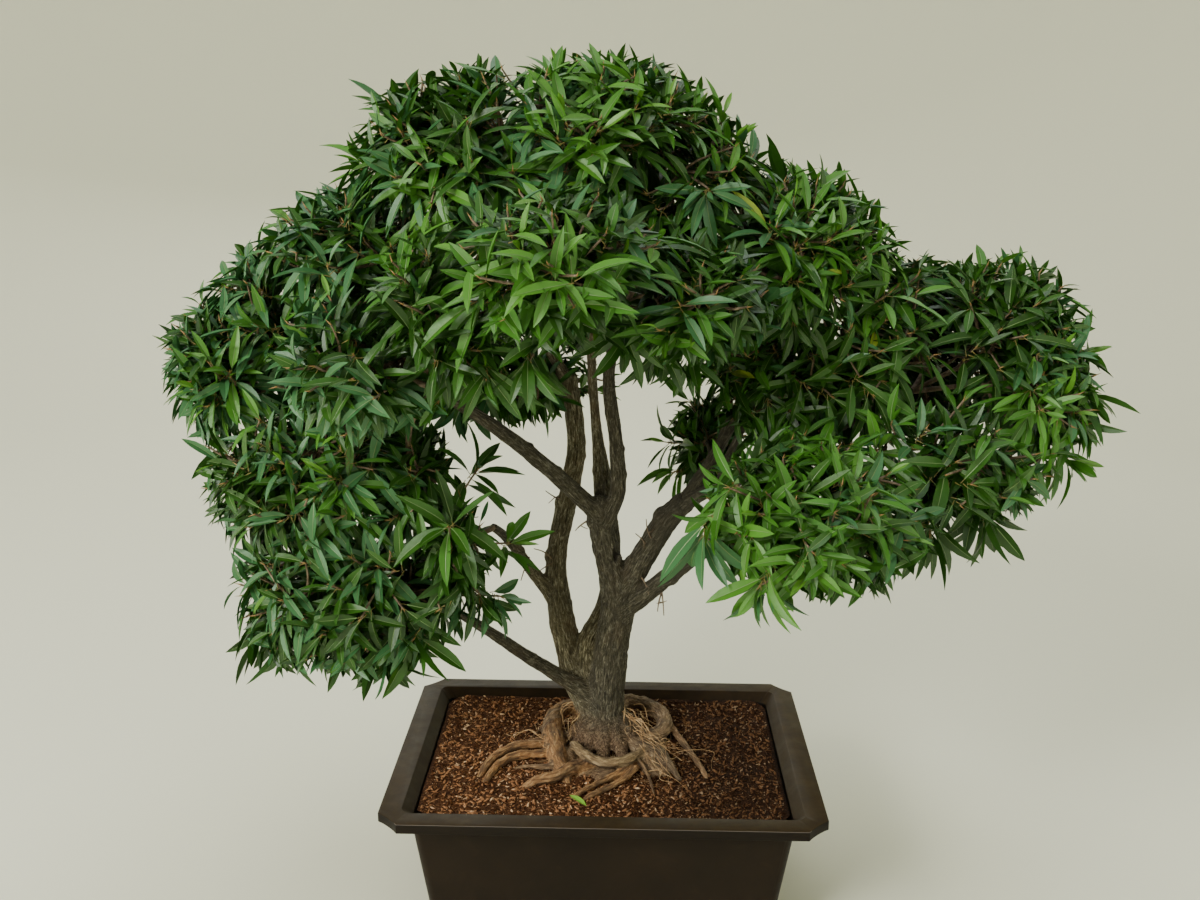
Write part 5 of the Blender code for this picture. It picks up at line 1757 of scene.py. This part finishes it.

# %% [markdown]
# Leaves have no pattern that has a place, so each tone is a plain colour with a soft gloss of its own.
# A shoot has one tone, near shoots are alike, and the youngest leaves are lighter. Each mass draws with its own
# odds, and these paint light and shade: the left side of the crown turns bluish for a painted sheen of the sky,
# the low right mass is the brightest and the masses at the front, under the centre and the small right one are
# brighter for painted light, and the far right and the low left masses are darker for painted shade.

# %% Tones of leaves, and the odds of each in each mass
LEAF_TONES = {
    "leaves_deep": (0.015, 0.058, 0.003),
    "leaves_dark": (0.025, 0.090, 0.006),
    "leaves_bluish": (0.042, 0.138, 0.044),
    "leaves_green": (0.043, 0.150, 0.011),
    "leaves_bright": (0.068, 0.202, 0.019),
    "leaves_young": (0.098, 0.250, 0.022),
    "leaves_yellow": (0.240, 0.320, 0.030),
}
# Shares of the first five tones, from dark to bright
TONE_ODDS = {
    "plain": (0.24, 0.32, 0.08, 0.27, 0.09),
    "blue": (0.10, 0.20, 0.44, 0.20, 0.06),
    "shaded_blue": (0.22, 0.30, 0.32, 0.13, 0.03),
    "bright": (0.11, 0.25, 0.06, 0.37, 0.21),
    "dark": (0.43, 0.36, 0.05, 0.14, 0.02),
}
# Masses with painted light (bright), painted shade (dark, shaded_blue) or a painted sheen of the sky (blue,
# shaded_blue)
MASS_ODDS = {
    "foliage_front": "bright",
    "foliage_front_left": "bright",
    "foliage_right_front": "bright",
    "foliage_right_hanging": "bright",
    "foliage_right_small": "bright",
    "foliage_under_centre": "bright",
    "foliage_far_right": "dark",
    "foliage_left_tip": "blue",
    "foliage_left_crown": "blue",
    "foliage_left_shoulder": "blue",
    "foliage_left_front": "blue",
    "foliage_left_lower": "shaded_blue",
    "foliage_left_bottom": "shaded_blue",
}
YELLOW_SHARE = 0.0006
LOWEST_SLOPE = -0.30
TONE_PATCH = 10.0
TONE_CHANCE = 0.13


def tone_of(tip, outward, layer, odds, rng):
    """The tone of a shoot. Near shoots are much alike, with some chance in it. Painted light lifts it near the light
    places, and painted shade lowers it in the hollows, underneath and in the inner layers.
    """
    level = 0.65 + 0.70 * noise.noise(tip * TONE_PATCH) + rng.gauss(0, TONE_CHANCE)
    spot = np.array(tip)
    level += LIGHT_LIFT * np.exp(-((spot - LIGHT_PLACES) ** 2).sum(1) / LIGHT_REACH ** 2).max()
    level -= HOLLOW_DROP * np.exp(-((spot - HOLLOWS[:, :3]) ** 2).sum(1) / (1.8 * np.minimum(HOLLOWS[:, 3], 0.030)) ** 2).max()
    level -= UNDERSIDE_DROP * max(0.0, -outward.z) / -LOWEST_SLOPE + LAYER_DROP * max(0, layer)
    return int(min(4, np.searchsorted(np.cumsum(odds), level)))


print("tones:", len(LEAF_TONES))

# %% Growth: twigs and shoots of one mass
STEM_RADIUS = 0.0036
STEM_TIP = 0.0024
STEM_SHARE = 0.72
STEM_BEND = 0.12
STEM_BEND_AT = 0.45
BRANCHLETS = 9
# Layers of shoots: how deep under the crown's skin they end, how far apart, fewest and most leaves
SHOOT_LAYERS = ((0.018, 0.0400, 9, 13), (0.038, 0.0465, 8, 11), (0.062, 0.053, 7, 9), (0.090, 0.058, 6, 8))
LEAF_LENGTH = 0.0415
LEAF_WIDTH = 0.0099
# Masses whose leaves are larger
LARGE_LEAVES = {
    "foliage_front": 1.06,
    "foliage_front_left": 1.04,
    "foliage_right_front": 1.02,
    "foliage_right_hanging": 1.10,
}
# Masses whose shoots stand wider apart, so that twigs and sky show between them
AIRY = {
    "foliage_front": 1.14,
    "foliage_front_left": 1.08,
    "foliage_left_inner": 1.25,
    "foliage_left_inner_upper": 1.15,
    "foliage_right_small": 1.10,
    "foliage_under_centre": 1.25,
    "foliage_right_hanging": 1.15,
}
# A spray on its own keeps every leaf. The layers start at 0, the outermost
FREE = -1
FREE_SCALE = 1.18


def stem_route(name):
    """The stem of a mass, from inside its limb's tip to the middle of the mass."""
    centre, _, carrier = MASSES[name]
    curve = LIMB_CURVES[carrier]
    tip = Vector(curve[-1, :3])
    along = (tip - Vector(curve[-5, :3])).normalized()
    goal = Vector(centre)
    start = tip - along * curve[-1, 3] * 0.5
    bend = start.lerp(goal, STEM_BEND_AT) + along * (goal - start).length * STEM_BEND
    radius = min(STEM_RADIUS, curve[-1, 3] * STEM_SHARE)
    return smooth_route(((*start, radius), (*bend, (radius + STEM_TIP) / 2), (*goal, STEM_TIP)), 0.012)


def twig_path(start, end, first, last, rng, steps=5):
    """A crooked twig from one place to another, a little lower in the middle than a straight line."""
    span = (end - start).length
    swing = Vector([rng.gauss(0, 0.07 * span) for _ in range(3)]) - Vector((0, 0, 0.05 * span))
    rows = []
    for step in range(steps + 1):
        share = step / steps
        spot = start.lerp(end, share) + swing * math.sin(math.pi * share)
        rows.append((*spot, first + (last - first) * share))
    return np.array(rows)


def scattered(direction, amount, rng):
    """A direction turned a little at random."""
    return (direction + Vector([rng.gauss(0, amount) for _ in range(3)])).normalized()


CROWN_HEART = Vector((0.0, 0.03, 0.50))


def shoots_of(index, name, rng):
    """The branchlets of a mass, and each shoot's tip, direction, twig, layer and number of leaves."""
    centre, half, _ = MASSES[name]
    centre = Vector(centre)
    stem = stem_route(name)
    branchlets = [stem]
    hubs = [Vector(stem[-1, :3])]
    for direction in even_directions(BRANCHLETS, rng):
        hub = centre + Vector(part * size for part, size in zip(direction, half)) * rng.uniform(0.38, 0.55)
        origin = Vector(stem[rng.randrange(len(stem) // 2, len(stem)), :3])
        branchlets.append(twig_path(origin, hub, 0.0021, 0.0014, rng))
        hubs.append(hub)
    shoots = []
    for layer, (depth, spacing, fewest, most) in enumerate(SHOOT_LAYERS):
        for direction in even_directions(round(surface_of(half) / (spacing * AIRY.get(name, 1.0)) ** 2), rng):
            direction = scattered(direction, 0.07, rng)
            offset = Vector(part * size for part, size in zip(direction, half)).normalized()
            reach = crown_reach(index, np.array(offset))
            if reach is None:
                continue
            outward = Vector(part / size for part, size in zip(direction, half)).normalized()
            from_heart = (centre + offset * reach - CROWN_HEART).normalized()
            outward = outward + 0.6 * from_heart + Vector((0, 0, 0.25))
            outward.z = max(outward.z, LOWEST_SLOPE)
            outward = scattered(outward.normalized(), 0.17, rng)
            tip = centre + offset * max(0.35 * reach, reach - depth * rng.uniform(0.7, 1.35))
            hub = min(hubs, key=lambda place: (place - tip).length)
            twig = twig_path(hub, tip, 0.0016, 0.0010, rng, 4)
            shoots.append((tip, outward, twig, layer, rng.randint(fewest, most)))
    for place, facing in SPRAYS:
        if mass_shares(place).argmin() == index:
            tip = Vector(place)
            hub = min(hubs, key=lambda place: (place - tip).length)
            twig = twig_path(hub, tip, 0.0014, 0.0009, rng, 5)
            shoots.append((tip, Vector(facing).normalized(), twig, FREE, rng.randint(8, 11)))
    return branchlets, shoots


print("growth helpers ready")

# %% Growth: leaves of one shoot
# Leaf roots crowd at the tip: a step between them that grows with each leaf
LEAF_STEP = (0.0009, 0.00016)
LEAF_TILTS = (20, 64)
STALK_LENGTH = 0.0060
DROOP = (0.16, 0.66)
HANGING = 1.35
# How much steeper the leaves of an upright shoot stand
STEEPER = 0.30
# Some shoots are stronger and have larger leaves
STRONG_SHARE = 0.15
STRONG = 1.22


def whorl(tip, outward, scale, count, rng):
    """The leaves of a shoot: root, direction, upper side, length, width and age from 0, the youngest."""
    side = outward.cross(Vector((0.31, 0.22, 0.92))).normalized()
    beside = outward.cross(side)
    turn = rng.uniform(0, math.tau)
    rise = max(0.0, outward.z)
    sag = HANGING if outward.z < -0.1 else 1.0 - 0.85 * rise
    vigour = scale * rng.uniform(0.82, 1.08) * (STRONG if rng.random() < STRONG_SHARE else 1.0)
    for step in range(count):
        age = step / (count - 1)
        angle = turn + GOLDEN_ANGLE * step + rng.gauss(0, 0.12)
        tilt = math.radians(LEAF_TILTS[0] + LEAF_TILTS[1] * age ** 0.55 + rng.gauss(0, 6)) * (1 - STEEPER * rise)
        round_shoot = math.cos(angle) * side + math.sin(angle) * beside
        direction = math.cos(tilt) * outward + math.sin(tilt) * round_shoot
        direction = (direction - Vector((0, 0, sag * (DROOP[0] + DROOP[1] * age)))).normalized()
        upper = outward * 0.9 + Vector((0, 0, 0.6)) + Vector([rng.gauss(0, 0.24) for _ in range(3)])
        grown = vigour * (0.52 + 0.48 * min(1.0, 3.2 * age))
        length = LEAF_LENGTH * rng.uniform(0.88, 1.10) * grown
        width = LEAF_WIDTH * rng.uniform(0.86, 1.10) * grown
        back = LEAF_STEP[0] * step + LEAF_STEP[1] * step * step
        yield tip - outward * back + direction * STALK_LENGTH, direction, upper, length, width, age


# %% Growth: a leaf that would leave the crown or touch a limb is skipped
# Least value of the crown's field at a leaf's middle and at its tip
LEAF_EDGE = (1.0, 0.40)
LIMB_CLEARANCE = 0.0025
limb_points = np.concatenate(list(LIMB_CURVES.values()))


def leaf_fits(root, direction, length, layer):
    """True where a leaf stays in the crown, out of the hollows and clear of the wood."""
    spots = np.array([root + direction * length * share for share in (0.5, 1.0, 0.15, 0.8)])
    if layer != FREE:
        if (crown_field(spots[:2]) < LEAF_EDGE).any():
            return False
        if (np.linalg.norm(spots[0] - HOLLOWS[:, :3], axis=1) < HOLLOWS[:, 3]).any():
            return False
    gaps = np.linalg.norm(spots[:, None] - limb_points[None, :, :3], axis=2) - limb_points[None, :, 3]
    return gaps.min() > LIMB_CLEARANCE


# %% Growth: all masses
LEAST_LEAVES = 4
YOUNG_SHARE = 0.25
ODD_SHARE = 0.05
branchlet_paths = []
shoot_paths = []
leaf_rows = []
bud_rows = []
tone_names = list(LEAF_TONES)
young, yellow = tone_names.index("leaves_young"), tone_names.index("leaves_yellow")
for index, name in enumerate(MASSES):
    rng = random.Random(index)
    branchlets, shoots = shoots_of(index, name, rng)
    branchlet_paths += branchlets
    odds = TONE_ODDS[MASS_ODDS.get(name, "plain")]
    scale = LARGE_LEAVES.get(name, 1.0)
    for tip, outward, twig, layer, count in shoots:
        tone = tone_of(tip, outward, layer, odds, rng)
        size = FREE_SCALE if layer == FREE else scale
        leaves = [leaf for leaf in whorl(tip, outward, size, count, rng) if leaf_fits(leaf[0], leaf[1], leaf[3], layer)]
        if len(leaves) < LEAST_LEAVES:
            continue
        shoot_paths.append(twig)
        bud_rows.append((*tip, *outward))
        for root, direction, upper, length, width, age in leaves:
            own_tone = tone
            if age < 0.2 and rng.random() < YOUNG_SHARE:
                own_tone = young if tone > 1 else tone + 1
            elif rng.random() < ODD_SHARE:
                own_tone = rng.choices(range(5), odds)[0]
            if rng.random() < YELLOW_SHARE:
                own_tone = yellow
            side = direction.cross(upper).normalized()
            over = side.cross(direction)
            leaf_rows.append((*root, *side, *direction, *over, length, width, own_tone, rng.randrange(4), layer))
leaf_table = np.array(leaf_rows)
print("shoots:", len(bud_rows), "leaves:", len(leaf_table))

# %% [markdown]
# Each tone of leaf becomes one joined mesh. A leaf is a turn, a size and a place for one of the models,
# so all of them come from one sum over arrays, where an operator on each would take hours.

# %% Leaves, ribs and stalks as joined meshes
def leaf_turns(rows, width=None, depth=None):
    """The 3 by 3 turn and size of each leaf: across, along and over."""
    across = rows[:, 3:6] * (rows[:, 13:14] if width is None else width)
    along = rows[:, 6:9] * rows[:, 12:13]
    over = rows[:, 9:12] * (rows[:, 12:13] if depth is None else depth)
    return np.stack([across, along, over], axis=2)


def make_leaf_material(name, colour):
    material, shader = new_material(name, colour, 0.40)
    shader.inputs["Specular IOR Level"].default_value = 0.42
    place = object_place(material)
    connect(material, bump(material, noise_value(material, place, 260.0, 3.0), 0.25, 0.0012), shader, "Normal")
    return material


foliage_nodes = list(MASSES)
outer = leaf_table[:, 16] < 2
for tone, (name, colour) in enumerate(LEAF_TONES.items()):
    leaf_material = make_leaf_material(name, colour)
    for ending, chosen in (("", outer), ("_inner", ~outer)):
        of_tone = leaf_table[chosen & (leaf_table[:, 14] == tone)]
        if len(of_tone):
            groups = []
            for model, template in enumerate(LEAF_MODELS):
                rows = of_tone[of_tone[:, 15] == model]
                groups.append((template, leaf_turns(rows), rows[:, 0:3]))
            leaves = copies(name + ending, groups)
            take(leaves)
            bpy.ops.object.shade_smooth()
            finish_piece(leaves, leaf_material, foliage_nodes)

# %% Midribs, stalks and buds
groups = []
for model, template in enumerate(RIB_MODELS):
    rows = leaf_table[(leaf_table[:, 15] == model) & (leaf_table[:, 16] < 2)]
    groups.append((template, leaf_turns(rows), rows[:, 0:3]))
ribs = copies("leaf_ribs", groups)
finish_piece(ribs, make_leaf_material("leaf_rib", (0.150, 0.240, 0.085)), foliage_nodes)

outer_leaves = leaf_table[leaf_table[:, 16] < 2]
stalk_turns = leaf_turns(outer_leaves)
stalk_turns = stalk_turns / np.linalg.norm(stalk_turns, axis=1)[:, None, :]
stalk_turns = stalk_turns * np.array([0.0006, STALK_LENGTH, 0.0006])
stalks = copies("leaf_stalks", [(STALK_MODEL, stalk_turns, outer_leaves[:, 0:3])])
finish_piece(stalks, make_leaf_material("leaf_stalk", (0.200, 0.165, 0.045)), foliage_nodes)


def model_bud():
    """A pointed sheath of length 1 along +Y."""
    deselect_all()
    bpy.ops.mesh.primitive_cone_add(vertices=5, radius1=0.10, radius2=0.0, depth=1.0, end_fill_type="NOTHING")
    bud = bpy.context.object
    bud.rotation_euler = (-math.pi / 2, 0, 0)
    bpy.ops.object.transform_apply(location=True, rotation=True, scale=True)
    move_points(bud, points_of(bud) + np.array([0, 0.5, 0]))
    return template_of(bud)


BUD_LENGTH = 0.008
bud_table = np.array(bud_rows)
along = bud_table[:, 3:6]
across = np.cross(along, (0.31, 0.22, 0.92))
across /= np.linalg.norm(across, axis=1)[:, None]
bud_turns = np.stack([across, along, np.cross(across, along)], axis=2) * BUD_LENGTH
buds = copies("bud_sheaths", [(model_bud(), bud_turns, bud_table[:, 0:3])])
finish_piece(buds, make_leaf_material("bud_sheath", (0.260, 0.145, 0.045)), foliage_nodes)

# %% A fallen leaf on the soil
FALLEN_FROM = Vector((-0.0351, -0.0954, 0.1530))
FALLEN_TO = Vector((-0.0167, -0.1125, 0.1535))
along = FALLEN_TO - FALLEN_FROM
side = along.cross(Vector((0.1, -0.2, 1.0))).normalized()
fallen_turn = np.array([side * 0.0070, along, side.cross(along)]).T
fallen = copies("fallen_leaf", [(LEAF_MODELS[0], [fallen_turn], [FALLEN_FROM])])
take(fallen)
bpy.ops.object.shade_smooth()
finish_piece(fallen, make_leaf_material("fallen_leaf", (0.200, 0.420, 0.040)))

# %% Branchlets and twigs
def make_twig_material():
    material, shader = new_material("twig_bark", (0.17, 0.12, 0.07), 0.75)
    place = object_place(material)
    spots = noise_value(material, place, 140.0, 4.0)
    colour = ramp(
        material, spots, (0.35, (0.080, 0.052, 0.029)), (0.55, (0.185, 0.130, 0.080)), (0.72, (0.310, 0.245, 0.168))
    )
    connect(material, colour, shader, "Base Color")
    connect(material, bump(material, noise_value(material, place, 700.0), 0.5, 0.0005), shader, "Normal")
    return material


twig_material = make_twig_material()
branchlets = thin_tubes("branchlets", branchlet_paths, sides=6)
take(branchlets)
bpy.ops.object.shade_smooth()
finish_piece(branchlets, twig_material, foliage_nodes)
twigs = thin_tubes("twigs", shoot_paths, sides=4)
take(twigs)
bpy.ops.object.shade_smooth()
finish_piece(twigs, twig_material, foliage_nodes)

# %% [markdown]
# A few thin dead twigs still hang from the bare boughs. Each is a crooked thin tube from its bough.

# %% Dead twigs on the bare wood
# Where each leaves the wood, and where it ends
DEAD_TWIGS = (
    ((0.058, 0.004, 0.350), (0.062, 0.000, 0.316)),
    ((0.060, 0.002, 0.345), (0.055, -0.004, 0.322)),
    ((0.046, 0.012, 0.384), (0.030, 0.004, 0.407)),
    ((0.050, 0.012, 0.396), (0.041, 0.002, 0.424)),
    ((-0.062, 0.070, 0.352), (-0.082, 0.052, 0.372)),
    ((-0.062, 0.070, 0.350), (-0.078, 0.060, 0.342)),
    ((-0.018, 0.020, 0.418), (-0.034, 0.002, 0.410)),
    ((0.036, 0.012, 0.356), (0.045, 0.000, 0.340)),
    ((-0.086, 0.036, 0.368), (-0.094, 0.020, 0.346)),
    ((-0.050, 0.084, 0.420), (-0.070, 0.070, 0.434)),
)
rng = random.Random(77)
dead_paths = []
for start, end in DEAD_TWIGS:
    path = twig_path(Vector(start), Vector(end), 0.0011, 0.0005, rng, 6)
    dead_paths.append(path)
    middle = Vector(path[3, :3])
    fork = middle + Vector((rng.uniform(-0.009, 0.009), rng.uniform(-0.006, 0.004), rng.uniform(-0.010, 0.006)))
    dead_paths.append(twig_path(middle, fork, 0.0007, 0.0004, rng, 3))
dead_twigs = thin_tubes("dead_twigs", dead_paths, sides=5)
take(dead_twigs)
bpy.ops.object.shade_smooth()
finish_piece(dead_twigs, twig_material)

# %% [markdown]
# The imported solids and the dressed plant must have the same size, so both boxes are printed.

dressed_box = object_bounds()
sizes = {
    "cad": [[float(value) for value in corner] for corner in cad_box],
    "visual": [[float(value) for value in corner] for corner in dressed_box],
}
print("packed:", [round(value, 4) for corner in sizes["cad"] for value in corner])
print("dressed:", [round(value, 4) for corner in sizes["visual"] for value in corner])
